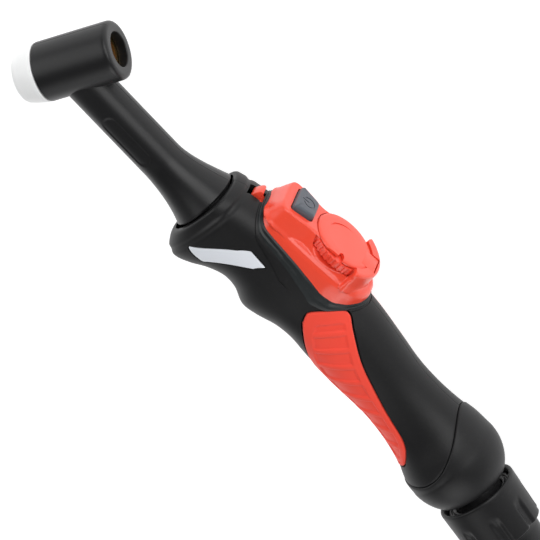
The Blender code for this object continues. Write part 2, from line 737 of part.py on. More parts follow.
def deck_outline():
    half = [(BUTTON_FRONT - 3.8, 7.2), (BUTTON_FRONT - 3.1, 9.4), (BUTTON_FRONT - 1.4, 10.5),
            (BUTTON_REAR - 3.4, 9.6), (0.6 - CAP_RADIUS, 8.6), (3.4 - CAP_RADIUS, 9.3),
            (7.4 - CAP_RADIUS, CAP_RADIUS - 2.0), (CAP_RADIUS - 3.4, CAP_RADIUS - 2.0)]
    return half + [(x, -y) for x, y in half[::-1]]


def arc_outline():
    half = [(CAP_RADIUS - 4.9, CAP_RADIUS - 4.4)]
    half += [(ARC_RADIUS * math.cos(math.radians(a)), ARC_RADIUS * math.sin(math.radians(a)))
             for a in range(58, 0, -9)]
    return half + [(x, -y) for x, y in half[::-1]]


def push_outline(grow):
    return [(BUTTON_FRONT - grow, -BUTTON_FRONT_HALF - grow),
            (BUTTON_REAR + grow, -BUTTON_REAR_HALF - grow),
            (BUTTON_REAR + grow, BUTTON_REAR_HALF + grow),
            (BUTTON_FRONT - grow, BUTTON_FRONT_HALF + grow)]


def module_housing():
    levels = ((MODULE_LOW, 0.0), (-8.0, 0.0), (-4.6, 0.9), (-2.6, 2.4))
    rings = [[(x, y, z) for x, y in base_outline(-inset)] for z, inset in levels]
    housing = loft("module_housing", rings, MODULE, "red")
    deck = extruded("deck_form", deck_outline(), -4.2, DECK_TOP, MODULE, "cutter", 0.5)
    rear = extruded("arc_form", arc_outline(), -4.2, ARC_TOP, MODULE, "cutter", 0.3)
    cut(housing, deck, rear, operation="UNION")
    skin = envelope("module_seat", GASKET_HEIGHT + 2.0 * GAP)
    cavity = extruded("module_cavity", base_outline(-MODULE_WALL - 0.9), MODULE_LOW - 1.0,
                      ROOF_LOW, MODULE, "cutter")
    front = BUTTON_FRONT - 1.3
    front_half = BUTTON_FRONT_HALF + 1.3
    rear_half = BUTTON_REAR_HALF + 1.8
    bay = extruded("button_bay", [(front, -front_half), (BUTTON_REAR + GAP, -rear_half),
                                  (BUTTON_REAR + GAP, rear_half), (front, front_half)],
                   ROOF_LOW - 1.0, DECK_LOW, MODULE, "cutter")
    button_way = extruded("button_way", push_outline(0.35), -2.0, 5.0, MODULE, "cutter")
    wheel_way = rod("wheel_way", WHEEL_RADIUS + 0.4, WHEEL_FLOOR, CAP_LOW - 0.1, MODULE,
                    steps=40)
    cap_way = rod("cap_way", CAP_RADIUS + GAP, WHEEL_FLOOR + 0.5, ARC_TOP + 2.0, MODULE,
                  steps=40)
    lug_way = bar("lug_way", (CAP_RADIUS - 2.4, -4.8, CAP_LOW - 0.25),
                  (CAP_RADIUS + 2.8, 4.8, ARC_TOP + 2.0), MODULE, "cutter")
    spindle_way = rod("spindle_way", SPINDLE_RADIUS + 0.4, ROOF_LOW - 1.0, 0.0, MODULE)
    cut(housing, skin, cavity, bay, button_way, wheel_way, cap_way, lug_way, spindle_way)
    bosses = [rod(f"board_boss_{n}", 2.3, BOARD_TOP + GAP, ROOF_LOW + 1.0, MODULE, "cutter",
                  place, 20) for n, place in enumerate(BOARD_SCREWS, 1)]
    cut(housing, *bosses, operation="UNION", solver="MANIFOLD")
    holes = [rod(f"board_screw_way_{n}", 1.3, BOARD_TOP - 1.0, -4.9, MODULE, "cutter", place, 16)
             for n, place in enumerate(BOARD_SCREWS, 1)]
    cut(housing, *holes, solver="MANIFOLD")


def module_gasket():
    band = extruded("module_gasket", base_outline(0.7), MODULE_LOW, -1.0, MODULE, "grey")
    inside = extruded("gasket_inside", base_outline(-1.6), MODULE_LOW - 1.0, 0.0, MODULE,
                      "cutter")
    low = envelope("gasket_low", GAP)
    high = envelope("gasket_high", GAP + GASKET_HEIGHT)
    cut(band, inside, low)
    cut(band, high, operation="INTERSECT")


def wheel_and_cap():
    outline = []
    for i in range(WHEEL_RIBS * 2):
        turn = math.pi * i / WHEEL_RIBS
        radius = WHEEL_RADIUS if i % 2 == 0 else WHEEL_RADIUS - 0.7
        outline.append((radius * math.cos(turn), radius * math.sin(turn)))
    wheel = extruded("adjust_wheel", outline, -WHEEL_HALF_THICKNESS, WHEEL_HALF_THICKNESS,
                     MODULE, "red")
    cut(wheel, rod("wheel_bore", SPINDLE_RADIUS + GAP, -4.0, 4.0, MODULE))
    turned("wheel_spindle", [
        (0.0, -1.2), (1.5, -1.2), (1.5, WHEEL_HALF_THICKNESS),
        (SPINDLE_RADIUS, WHEEL_HALF_THICKNESS), (SPINDLE_RADIUS, ROOF_LOW - 0.5),
        (0.0, ROOF_LOW - 0.5)], MODULE, "steel", 24)
    cap = turned("wheel_cap", [
        (0.0, CAP_TOP - 0.5), (7.3, CAP_TOP - 0.5), (7.6, CAP_TOP), (CAP_RADIUS - 0.5, CAP_TOP),
        (CAP_RADIUS, CAP_TOP - 0.5), (CAP_RADIUS, CAP_LOW), (1.2, CAP_LOW), (1.2, -0.9),
        (0.0, -0.9)], MODULE, "red", 40)
    lug = bar("cap_lug", (CAP_RADIUS - 2.0, -4.5, CAP_LOW), (CAP_RADIUS + 2.5, 4.5, CAP_TOP),
              MODULE, "cutter")
    cut(cap, lug, operation="UNION")


def module_electrics():
    turned("potentiometer", [
        (0.0, ROOF_LOW - 0.8), (POT_RADIUS - 0.6, ROOF_LOW - 0.8), (POT_RADIUS, ROOF_LOW - 1.4),
        (POT_RADIUS, BOARD_TOP + GAP), (0.0, BOARD_TOP + GAP)], MODULE, "steel", 28)
    plunger_low = -3.0
    button = extruded("push_button", push_outline(0.0), -1.0, BUTTON_TOP, MODULE, "grey", 0.5)
    flange = extruded("button_flange", [
        (BUTTON_FRONT - 0.9, -BUTTON_FRONT_HALF - 0.9),
        (BUTTON_REAR - 0.6, -BUTTON_REAR_HALF - 1.3),
        (BUTTON_REAR - 0.6, BUTTON_REAR_HALF + 1.3),
        (BUTTON_FRONT - 0.9, BUTTON_FRONT_HALF + 0.9)],
        -1.0, DECK_LOW - GAP, MODULE, "cutter")
    middle = (BUTTON_FRONT + BUTTON_REAR) / 2.0
    plunger = rod("button_plunger", 1.9, plunger_low, 0.0, MODULE, "cutter", (middle, 0.0), 20)
    cut(button, flange, plunger, operation="UNION")
    switch_top = plunger_low - BUTTON_TRAVEL - GAP
    bar("tact_switch", (middle - 3.0, -3.0, BOARD_TOP + GAP), (middle + 3.0, 3.0, switch_top),
        MODULE, "dark", 0.4)
    board = bar("circuit_board",
                (BUTTON_FRONT + 0.4, -BOARD_HALF_WIDTH, BOARD_TOP - BOARD_THICKNESS),
                (POT_RADIUS + 1.7, BOARD_HALF_WIDTH, BOARD_TOP), MODULE, "board")
    head_top = BOARD_TOP - BOARD_THICKNESS - GAP
    for n, place in enumerate(BOARD_SCREWS, 1):
        cut(board, rod(f"board_hole_{n}", 1.4, BOARD_TOP - 3.0, BOARD_TOP + 1.0, MODULE,
                       "cutter", place, 16))
        turned(f"board_screw_{n}", [
            (0.0, -5.3), (1.0, -5.9), (1.0, head_top), (2.0, head_top), (2.0, head_top - 1.5),
            (0.8, head_top - 1.5), (0.7, head_top - 0.7), (0.0, head_top - 0.7)],
            MODULE, "steel", 16, (*place, 0.0))


def module_latch():
    outline = [(77.2, 17.2), (90.0, 17.2), (90.0, 18.4), (80.2, 18.4), (79.9, 21.2),
               (79.2, 21.9), (78.4, 21.7), (77.0, 18.2)]
    rings = [[(x, y, z) for x, y in outline] for z in (-2.6, 2.6)]
    loft("module_latch", rings, TORCH, "red")


def wire_connector():
    bar("wire_connector", (118.0, 2.5, -5.0), (131.0, 10.0, 5.0), TORCH, "white", 0.6)


def place_on_bench():
    """Move the whole torch so that its lowest side lies at Z = 0 under its middle."""
    bpy.context.view_layer.update()
    graph = bpy.context.evaluated_depsgraph_get()
    low = Vector((1.0, 1.0, 1.0))
    high = -low
    for piece in PARTS.objects:
        if piece.type != "MESH":
            continue
        solid = piece.evaluated_get(graph)
        for vertex in solid.data.vertices:
            spot = piece.matrix_world @ vertex.co
            low = Vector(map(min, low, spot))
            high = Vector(map(max, high, spot))
    TORCH.location = (-(low.x + high.x) / 2.0, -(low.y + high.y) / 2.0, -low.z)
    bpy.context.view_layer.update()


head_and_neck()
head_inside()
cup_gasket()
handle_shells()
handle_screws()
rear_cover()
cable_end()
module_housing()
module_gasket()
wheel_and_cap()
module_electrics()
module_latch()
wire_connector()
place_on_bench()
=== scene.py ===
import math
import bpy
import numpy as np
from mathutils import Matrix, Vector


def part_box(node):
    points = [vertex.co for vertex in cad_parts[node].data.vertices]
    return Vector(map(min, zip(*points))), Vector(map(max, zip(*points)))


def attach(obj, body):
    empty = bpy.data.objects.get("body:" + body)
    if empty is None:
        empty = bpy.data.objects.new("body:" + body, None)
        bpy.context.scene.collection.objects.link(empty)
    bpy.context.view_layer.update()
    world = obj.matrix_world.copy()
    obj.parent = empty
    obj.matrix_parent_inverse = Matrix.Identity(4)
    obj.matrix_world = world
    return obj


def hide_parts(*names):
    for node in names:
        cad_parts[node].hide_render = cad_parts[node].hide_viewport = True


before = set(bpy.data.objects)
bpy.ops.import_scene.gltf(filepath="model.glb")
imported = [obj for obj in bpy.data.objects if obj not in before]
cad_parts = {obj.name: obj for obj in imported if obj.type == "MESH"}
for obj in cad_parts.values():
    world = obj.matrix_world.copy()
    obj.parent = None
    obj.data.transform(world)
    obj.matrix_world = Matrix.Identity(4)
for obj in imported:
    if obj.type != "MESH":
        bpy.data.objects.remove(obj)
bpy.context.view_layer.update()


# The bench and the light
# A wide pale sheet under the torch that glows a little, so that its shadows stay pale, a large
# soft lamp above the torch and two softer ones at its sides.
MM = 0.001
tube_low, tube_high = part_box("neck_tube")
TUBE_START = 9.6
# The torch's own origin is where the axes of head and neck cross.
origin = Vector((tube_low.x - TUBE_START * MM, (tube_low.y + tube_high.y) / 2,
                 (tube_low.z + tube_high.z) / 2))
torch_frame = Matrix.Translation(origin)


def deselect():
    bpy.ops.object.select_all(action="DESELECT")


def new_material(name):
    finish = bpy.data.materials.new(name)
    finish.use_nodes = True
    nodes = finish.node_tree.nodes
    return finish, nodes, finish.node_tree.links, nodes["Principled BSDF"]


def plain_material(name, colour, roughness, glow):
    finish, _, _, shader = new_material(name)
    shader.inputs["Base Color"].default_value = (*colour, 1.0)
    shader.inputs["Roughness"].default_value = roughness
    shader.inputs["Emission Color"].default_value = (1.0, 1.0, 1.0, 1.0)
    shader.inputs["Emission Strength"].default_value = glow
    return finish


deselect()
bpy.ops.mesh.primitive_plane_add(size=6.0, location=(0.0, 0.0, -0.0004))
bench = bpy.context.object
bench.name = "bench"
bpy.ops.object.transform_apply(location=True)
bench.data.materials.append(plain_material("bench_sheet", (0.5, 0.5, 0.505), 0.9, 0.8))

sky = bpy.data.worlds.new("studio")
sky.use_nodes = True
sky_nodes, sky_links = sky.node_tree.nodes, sky.node_tree.links
sky_nodes["Background"].inputs["Color"].default_value = (0.97, 0.98, 1.0, 1.0)
# White walls, and a ceiling that gets darker towards the top.
sky_place = sky_nodes.new("ShaderNodeTexCoord")
sky_height = sky_nodes.new("ShaderNodeSeparateXYZ")
sky_fade = sky_nodes.new("ShaderNodeMapRange")
sky_fade.inputs["From Min"].default_value = 0.05
sky_fade.inputs["From Max"].default_value = 0.75
sky_fade.inputs["To Min"].default_value = 0.6
sky_fade.inputs["To Max"].default_value = 0.04
sky_links.new(sky_place.outputs["Generated"], sky_height.inputs["Vector"])
sky_links.new(sky_height.outputs["Z"], sky_fade.inputs["Value"])
sky_links.new(sky_fade.outputs["Result"], sky_nodes["Background"].inputs["Strength"])
bpy.context.scene.world = sky
bpy.context.scene.view_settings.view_transform = "Standard"


def soft_lamp(name, spot, target, size, watts):
    data = bpy.data.lights.new(name, "AREA")
    data.shape = "RECTANGLE"
    data.size = size[0]
    data.size_y = size[1]
    data.energy = watts
    lamp = bpy.data.objects.new(name, data)
    bpy.context.scene.collection.objects.link(lamp)
    lamp.location = spot
    lamp.rotation_euler = (Vector(target) - Vector(spot)).to_track_quat("-Z", "Y").to_euler()
    return lamp


soft_lamp("key_lamp", (-0.25, 0.95, 0.75), (0.0, 0.0, 0.0), (1.3, 0.8), 10.5)
soft_lamp("fill_lamp", (-0.95, -0.35, 0.75), (0.0, 0.0, 0.0), (0.8, 1.1), 5.5)
soft_lamp("tail_lamp", (0.85, -0.35, 0.8), (0.0, 0.0, 0.0), (0.9, 0.8), 5.5)

# The camera looks down at the module's side of the torch, with the head at the upper left.
VIEW_BACK = Vector((-0.2306, 0.4762, 0.8486)).normalized()
VIEW_UP = Vector((-0.7010, 0.5235, -0.4843))
VIEW_CENTRE = Vector((97.8, 14.9, 25.6))
VIEW_DISTANCE = 2000.0
VIEW_SPAN = 191.1
camera_data = bpy.data.cameras.new("camera")
camera_data.sensor_width = 36.0
camera_data.lens = VIEW_DISTANCE * camera_data.sensor_width / VIEW_SPAN
camera_data.clip_start = 0.01
camera = bpy.data.objects.new("camera", camera_data)
bpy.context.scene.collection.objects.link(camera)
view_right = VIEW_UP.cross(VIEW_BACK).normalized()
view_up = VIEW_BACK.cross(view_right)
turn = Matrix((view_right, view_up, VIEW_BACK)).transposed().to_4x4()
camera.matrix_world = Matrix.Translation(
    torch_frame @ (VIEW_CENTRE * MM) + VIEW_BACK * VIEW_DISTANCE * MM) @ turn
bpy.context.scene.camera = camera


# Head and neck
# One black rubber moulding over the brass head and the copper tube. It is moulded in two
# half moulds, so a fine flash line runs round it in the middle plane, and the neck carries a
# plain sunk oval pad on each side.
def multiplied(tree, value, factor):
    node = tree.nodes.new("ShaderNodeMath")
    node.operation = "MULTIPLY"
    node.inputs[1].default_value = factor
    tree.links.new(value, node.inputs[0])
    return node.outputs[0]


def mask_group():
    """Fine moulded grain, a broad cloudy tone and rubbed edges, as masks and a height."""
    group = bpy.data.node_groups.new("moulded_surface", "ShaderNodeTree")
    face = group.interface
    for name, value in (("Grain Scale", 900.0), ("Cloud Scale", 22.0), ("Rub", 0.5)):
        socket = face.new_socket(name, in_out="INPUT", socket_type="NodeSocketFloat")
        socket.default_value = value
    for name in ("Height", "Cloud", "Rubbed", "Dust"):
        face.new_socket(name, in_out="OUTPUT", socket_type="NodeSocketFloat")
    nodes, links = group.nodes, group.links
    entry = nodes.new("NodeGroupInput")
    exit_node = nodes.new("NodeGroupOutput")
    place = nodes.new("ShaderNodeTexCoord")

    def noise(scale_socket, factor, detail, roughness):
        texture = nodes.new("ShaderNodeTexNoise")
        texture.inputs["Detail"].default_value = detail
        texture.inputs["Roughness"].default_value = roughness
        links.new(multiplied(group, entry.outputs[scale_socket], factor),
                  texture.inputs["Scale"])
        links.new(place.outputs["Object"], texture.inputs["Vector"])
        return texture

    def ramp(source, low, high):
        curve = nodes.new("ShaderNodeMapRange")
        curve.inputs["From Min"].default_value = low
        curve.inputs["From Max"].default_value = high
        links.new(source, curve.inputs["Value"])
        return curve.outputs["Result"]

    def blend(operation, first, second):
        node = nodes.new("ShaderNodeMath")
        node.operation = operation
        node.use_clamp = True
        for index, value in enumerate((first, second)):
            if isinstance(value, float):
                node.inputs[index].default_value = value
            else:
                links.new(value, node.inputs[index])
        return node.outputs[0]

    fine = noise("Grain Scale", 1.0, 3.0, 0.55)
    pebble = noise("Grain Scale", 0.45, 1.0, 0.4)
    height = blend("ADD", blend("MULTIPLY", fine.outputs["Fac"], 0.55),
                   blend("MULTIPLY", pebble.outputs["Fac"], 0.45))
    links.new(height, exit_node.inputs["Height"])
    cloud = noise("Cloud Scale", 1.0, 4.0, 0.6)
    links.new(cloud.outputs["Fac"], exit_node.inputs["Cloud"])
    shape = nodes.new("ShaderNodeNewGeometry")
    edges = ramp(shape.outputs["Pointiness"], 0.515, 0.60)
    broken = ramp(noise("Cloud Scale", 9.0, 3.0, 0.65).outputs["Fac"], 0.38, 0.62)
    rubbed = blend("MULTIPLY", blend("MULTIPLY", edges, broken), entry.outputs["Rub"])
    links.new(rubbed, exit_node.inputs["Rubbed"])
    hollows = ramp(shape.outputs["Pointiness"], 0.49, 0.43)
    specks = ramp(noise("Cloud Scale", 30.0, 2.0, 0.7).outputs["Fac"], 0.55, 0.72)
    links.new(blend("ADD", blend("MULTIPLY", hollows, 0.5), blend("MULTIPLY", specks, 0.12)),
              exit_node.inputs["Dust"])
    return group


moulded_surface = mask_group()


def surface_relief(finish, shader, mask, rough_range, height, depth, strength):
    """Roughness that follows a mask between two values, and a bump of a given depth."""
    nodes, links = finish.node_tree.nodes, finish.node_tree.links
    rough = nodes.new("ShaderNodeMapRange")
    rough.inputs["To Min"].default_value, rough.inputs["To Max"].default_value = rough_range
    links.new(mask, rough.inputs["Value"])
    links.new(rough.outputs["Result"], shader.inputs["Roughness"])
    bump = nodes.new("ShaderNodeBump")
    bump.inputs["Distance"].default_value = depth * MM
    bump.inputs["Strength"].default_value = strength
    links.new(height, bump.inputs["Height"])
    links.new(bump.outputs["Normal"], shader.inputs["Normal"])


def moulded(name, colour, roughness, grain=900.0, depth=0.02, rub=0.4, rub_tone=1.6,
            dust=0.06, tone=0.12, specular=0.5, coat=0.0, sheen=0.0):
    """A moulded plastic or rubber: its own colour, with grain, clouding, wear and dust."""
    finish, nodes, links, shader = new_material(name)
    surface = nodes.new("ShaderNodeGroup")
    surface.node_tree = moulded_surface
    surface.inputs["Grain Scale"].default_value = grain
    surface.inputs["Rub"].default_value = rub

    def mixed(factor, first, second):
        node = nodes.new("ShaderNodeMix")
        node.data_type = "RGBA"
        links.new(factor, node.inputs["Factor"])
        for socket, value in (("A", first), ("B", second)):
            target = [i for i in node.inputs if i.name == socket and i.type == "RGBA"][0]
            if isinstance(value, tuple):
                target.default_value = (*value, 1.0)
            else:
                links.new(value, target)
        return [o for o in node.outputs if o.type == "RGBA"][0]

    dark = tuple(c * (1.0 - tone) for c in colour)
    light = tuple(min(c * (1.0 + tone), 1.0) for c in colour)
    worn = tuple(min(c * rub_tone + 0.01, 1.0) for c in colour)
    body = mixed(surface.outputs["Cloud"], dark, light)
    body = mixed(surface.outputs["Rubbed"], body, worn)
    dusty = multiplied(finish.node_tree, surface.outputs["Dust"], dust)
    body = mixed(dusty, body, (0.42, 0.40, 0.38))
    links.new(body, shader.inputs["Base Color"])
    rough_range = (max(roughness - 0.07, 0.04), min(roughness + 0.09, 1.0))
    surface_relief(finish, shader, surface.outputs["Cloud"], rough_range,
                   surface.outputs["Height"], depth, 0.8)
    shader.inputs["Specular IOR Level"].default_value = specular
    shader.inputs["Coat Weight"].default_value = coat
    shader.inputs["Coat Roughness"].default_value = 0.2
    shader.inputs["Sheen Weight"].default_value = sheen
    return finish


def sheet(name, columns, rows, spot, transform=torch_frame):
    """A grid whose every vertex goes to spot(u, v); touching borders are welded."""
    deselect()
    bpy.ops.mesh.primitive_grid_add(x_subdivisions=columns, y_subdivisions=rows, size=2.0)
    piece = bpy.context.object
    piece.name = name
    piece.data.name = name
    for vertex in piece.data.vertices:
        u = round((vertex.co.x + 1.0) / 2.0 * columns)
        v = round((vertex.co.y + 1.0) / 2.0 * rows)
        vertex.co = transform @ (Vector(spot(u, v)) * MM)
    tidy_mesh(piece)
    return piece


def tidy_mesh(piece, weld=0.002):
    deselect()
    piece.select_set(True)
    bpy.context.view_layer.objects.active = piece
    bpy.ops.object.mode_set(mode="EDIT")
    bpy.ops.mesh.select_all(action="SELECT")
    bpy.ops.mesh.remove_doubles(threshold=weld * MM)
    bpy.ops.mesh.normals_make_consistent(inside=False)
    bpy.ops.object.mode_set(mode="OBJECT")


def apply_modifier(piece, kind, **settings):
    modifier = piece.modifiers.new(kind.lower(), kind)
    for key, value in settings.items():
        setattr(modifier, key, value)
    deselect()
    piece.select_set(True)
    bpy.context.view_layer.objects.active = piece
    bpy.ops.object.modifier_apply(modifier=modifier.name)


def combine(piece, other, operation="DIFFERENCE", solver="EXACT"):
    """Cut or join another piece, which is used up."""
    apply_modifier(piece, "BOOLEAN", operation=operation, object=other, solver=solver)
    bpy.data.objects.remove(other)


def cut(piece, other):
    combine(piece, other, "DIFFERENCE", "MANIFOLD")


def join(piece, other):
    combine(piece, other, "UNION", "MANIFOLD")


def smooth(piece, angle=32.0):
    deselect()
    piece.select_set(True)
    bpy.context.view_layer.objects.active = piece
    bpy.ops.object.shade_smooth_by_angle(angle=math.radians(angle))


def finish_piece(piece, material, slot, body, *nodes, angle=32.0):
    """Paint the piece, tie it to its body and hide the CAD nodes that it stands for."""
    piece.data.materials.clear()
    piece.data.materials.append(material)
    smooth(piece, angle)
    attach(piece, body)
    if nodes:
        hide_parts(*nodes)
    return piece


def frame_at(x, y, along, side, up):
    """A frame inside the torch, its axes given in the torch's own frame."""
    axes = Matrix((along, side, up)).transposed().to_4x4()
    return torch_frame @ Matrix.Translation(Vector((x, y, 0.0)) * MM) @ axes


def plane_direction(angle):
    return Vector((math.cos(math.radians(angle)), math.sin(math.radians(angle)), 0.0))


SIDE = Vector((0.0, 0.0, 1.0))


def turned_frame(x, y, angle):
    up = plane_direction(angle)
    return frame_at(x, y, SIDE.cross(up), SIDE, up)


def rounded(points, radius, steps=5):
    """A profile with its corners rounded; a point may give its own radius as a third value."""
    result = []
    count = len(points)
    for i, point in enumerate(points):
        here = Vector(point[:2])
        corner = point[2] if len(point) > 2 else radius
        if corner == 0.0:
            result.append(tuple(here))
            continue
        before = Vector(points[i - 1][:2]) - here
        after = Vector(points[(i + 1) % count][:2]) - here
        reach = min(corner, before.length * 0.49, after.length * 0.49)
        start = here + before.normalized() * reach
        end = here + after.normalized() * reach
        for step in range(steps + 1):
            t = step / steps
            result.append(tuple(start * (1 - t) ** 2 + here * 2 * t * (1 - t) + end * t * t))
    return result


def turned_piece(name, profile, sides, transform, shape=None):
    """A closed profile of (radius, height) spun round its frame's Z; shape bends the radius."""
    loop = profile + profile[:1]

    def spot(u, v):
        radius, height = loop[u]
        angle = 2.0 * math.pi * v / sides
        if shape:
            radius = shape(radius, height, angle)
        return (radius * math.cos(angle), radius * math.sin(angle), height)
    return sheet(name, len(loop) - 1, sides, spot, transform)


def between(value, low, high):
    """A smooth step from 0 at low to 1 at high."""
    t = min(max((value - low) / (high - low), 0.0), 1.0)
    return t * t * (3.0 - 2.0 * t)


HEAD_TILT = 70.0
HEAD_RADIUS = 11.0
HEAD_FRONT = -10.2
HEAD_REAR = 19.9
head_frame = turned_frame(0.0, 0.0, HEAD_TILT)
FLASH_HEIGHT = 0.11


def flash(angle, across):
    """The flash line stands up where the surface meets the middle plane."""
    reach = abs(math.sin(angle)) * across
    return FLASH_HEIGHT * max(0.0, 1.0 - reach / 0.22)


head_profile = rounded([
    (6.55, HEAD_REAR, 0.5), (HEAD_RADIUS, HEAD_REAR, 4.0), (HEAD_RADIUS, HEAD_FRONT, 0.5),
    (7.4, HEAD_FRONT, 0.1), (7.4, 16.1, 0.1), (6.55, 16.3, 0.2)], 0.3, 9)
long_profile = []
for first, second in zip(head_profile, head_profile[1:] + head_profile[:1]):
    pieces = max(1, int((Vector(second) - Vector(first)).length / 1.2))
    for step in range(pieces):
        share = step / pieces
        long_profile.append(tuple(Vector(first).lerp(Vector(second), share)))
head = turned_piece("head_and_neck_rubber", long_profile, 360, head_frame,
                    lambda r, h, a: r + (flash(a, r) if r > 10.0 else 0.0))

NECK_RADIUS = 8.1
NECK_BORE = 4.9
NECK_STRAIGHT_END = 48.0
BELL_END = 69.0
BELL_RADIUS = 12.8
BELL_RISE = 1.2
PAD = (22.0, 45.0, 3.1, 0.28)


def neck_size(x):
    share = min(max((x - NECK_STRAIGHT_END) / (BELL_END - NECK_STRAIGHT_END), 0.0), 1.0)
    radius = NECK_RADIUS + (BELL_RADIUS - NECK_RADIUS) * share ** 1.7
    return radius, BELL_RISE * share * share * (3.0 - 2.0 * share)


def pad_depth(x, y):
    """The sunk pad: a long oval with a soft rim."""
    start, end, half, depth = PAD
    nearest = min(max(x, start + half), end - half)
    distance = math.hypot(x - nearest, y + 1.2)
    return depth * (1.0 - between(distance, half - 0.45, half + 0.05))


neck_stations = [i * 0.5 for i in range(int(BELL_END * 2) - 2)]
neck_stations += [BELL_END - 1.0 + i * 0.25 for i in range(5)]
bell_lip = [(BELL_END + 0.9 * math.sin(math.radians(a)),
             BELL_RADIUS - 0.9 * (1.0 - math.cos(math.radians(a)))) for a in range(10, 91, 10)]
neck_rows = [(x, neck_size(x)[0]) for x in neck_stations] + bell_lip
neck_rows += [(BELL_END + 0.9, 10.6), (83.8, 10.6)]
neck_rows += [(x, NECK_BORE) for x in (83.8, 40.0, 3.0)]
NECK_SIDES = 240


def neck_spot(u, v):
    x, radius = neck_rows[u]
    angle = 2.0 * math.pi * v / NECK_SIDES
    outside = radius > NECK_BORE
    rise = neck_size(x)[1] if outside else 0.0
    if outside and x < BELL_END:
        radius -= pad_depth(x, radius * math.cos(angle))
        radius += flash(angle, radius)
    return (x, rise + radius * math.cos(angle), radius * math.sin(angle))


neck_rows.append(neck_rows[0])
neck = sheet("neck_form", len(neck_rows) - 1, NECK_SIDES, neck_spot)
combine(head, neck, "UNION")
deselect()
bpy.ops.mesh.primitive_cylinder_add(vertices=64, radius=7.4 * MM, depth=26.3 * MM)
core = bpy.context.object
core.data.transform(head_frame @ Matrix.Translation((0.0, 0.0, 3.0 * MM)))
combine(head, core)
head_rubber = moulded("head_rubber", (0.0075, 0.0075, 0.008), 0.36, grain=1400.0, depth=0.008,
                      rub=0.25, rub_tone=1.5, dust=0.04, specular=0.36, sheen=0.02)
finish_piece(head, head_rubber, "head_rubber", "handset", "head_and_neck", angle=38.0)


# Cup gasket
# A white heat-proof ring of filled PTFE, turned from bar. It closes the front of the head, and
# the ceramic cup of a working torch would press on its flat tip.
GASKET_BASE = HEAD_FRONT - 0.3
GASKET_TIP = GASKET_BASE - 9.2
gasket_profile = rounded([
    (10.9, GASKET_BASE, 0.4), (10.85, GASKET_BASE - 1.6, 0.6), (9.3, GASKET_TIP + 1.3, 2.0),
    (7.9, GASKET_TIP, 1.4), (5.4, GASKET_TIP, 0.3), (5.4, GASKET_TIP + 1.4, 0.1),
    (7.3, GASKET_TIP + 1.4, 0.1), (7.3, GASKET_BASE, 0.1)], 0.3, 8)
gasket = turned_piece("cup_gasket_ring", gasket_profile, 200, head_frame)
gasket_white = moulded("gasket_white", (0.86, 0.865, 0.86), 0.34, grain=500.0, depth=0.006,
                       rub=0.25, rub_tone=0.9, dust=0.10, tone=0.03, specular=0.45)
finish_piece(gasket, gasket_white, "gasket_white", "handset", "cup_gasket")


# Brass head body, copper tube and cable stud
# Turned and drilled brass, brazed to a copper tube that carries the gas and the current. They
# keep their CAD form, and get bright machined metal with a little tarnish.
def turning_group():
    """Fine marks left by a lathe, and a cloudy film of tarnish."""
    group = bpy.data.node_groups.new("turned_metal", "ShaderNodeTree")
    face = group.interface
    socket = face.new_socket("Scale", in_out="INPUT", socket_type="NodeSocketFloat")
    socket.default_value = 1.0
    for name in ("Height", "Film"):
        face.new_socket(name, in_out="OUTPUT", socket_type="NodeSocketFloat")
    nodes, links = group.nodes, group.links
    entry = nodes.new("NodeGroupInput")
    exit_node = nodes.new("NodeGroupOutput")
    place = nodes.new("ShaderNodeTexCoord")
    for output, factor, detail in (("Height", 3000.0, 2.0), ("Film", 60.0, 6.0)):
        texture = nodes.new("ShaderNodeTexNoise")
        texture.inputs["Detail"].default_value = detail
        links.new(multiplied(group, entry.outputs["Scale"], factor), texture.inputs["Scale"])
        links.new(place.outputs["Object"], texture.inputs["Vector"])
        links.new(texture.outputs["Fac"], exit_node.inputs[output])
    return group


turned_metal = turning_group()


def metal(name, bright, tarnished, roughness, scale=1.0):
    """A turned or drawn metal with lathe marks and a film of tarnish."""
    finish, nodes, links, shader = new_material(name)
    shader.inputs["Metallic"].default_value = 1.0
    marks = nodes.new("ShaderNodeGroup")
    marks.node_tree = turned_metal
    marks.inputs["Scale"].default_value = scale
    film = nodes.new("ShaderNodeValToRGB")
    film.color_ramp.elements[0].position = 0.35
    film.color_ramp.elements[0].color = (*bright, 1.0)
    film.color_ramp.elements[1].position = 0.75
    film.color_ramp.elements[1].color = (*tarnished, 1.0)
    links.new(marks.outputs["Film"], film.inputs["Fac"])
    links.new(film.outputs["Color"], shader.inputs["Base Color"])
    surface_relief(finish, shader, marks.outputs["Film"], (roughness - 0.06, roughness + 0.16),
                   marks.outputs["Height"], 0.01, 0.35)
    return finish


def paint_node(name, material):
    """A CAD node that stays as it is and only gets its material."""
    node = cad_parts[name]
    node.data.materials.clear()
    node.data.materials.append(material)


brass = metal("brass", (0.80, 0.56, 0.24), (0.52, 0.36, 0.17), 0.28)
copper = metal("copper", (0.86, 0.47, 0.33), (0.50, 0.25, 0.17), 0.30)
steel = metal("steel", (0.60, 0.60, 0.61), (0.42, 0.41, 0.40), 0.30)
paint_node("head_body", brass)
paint_node("cable_stud", brass)
paint_node("neck_tube", copper)


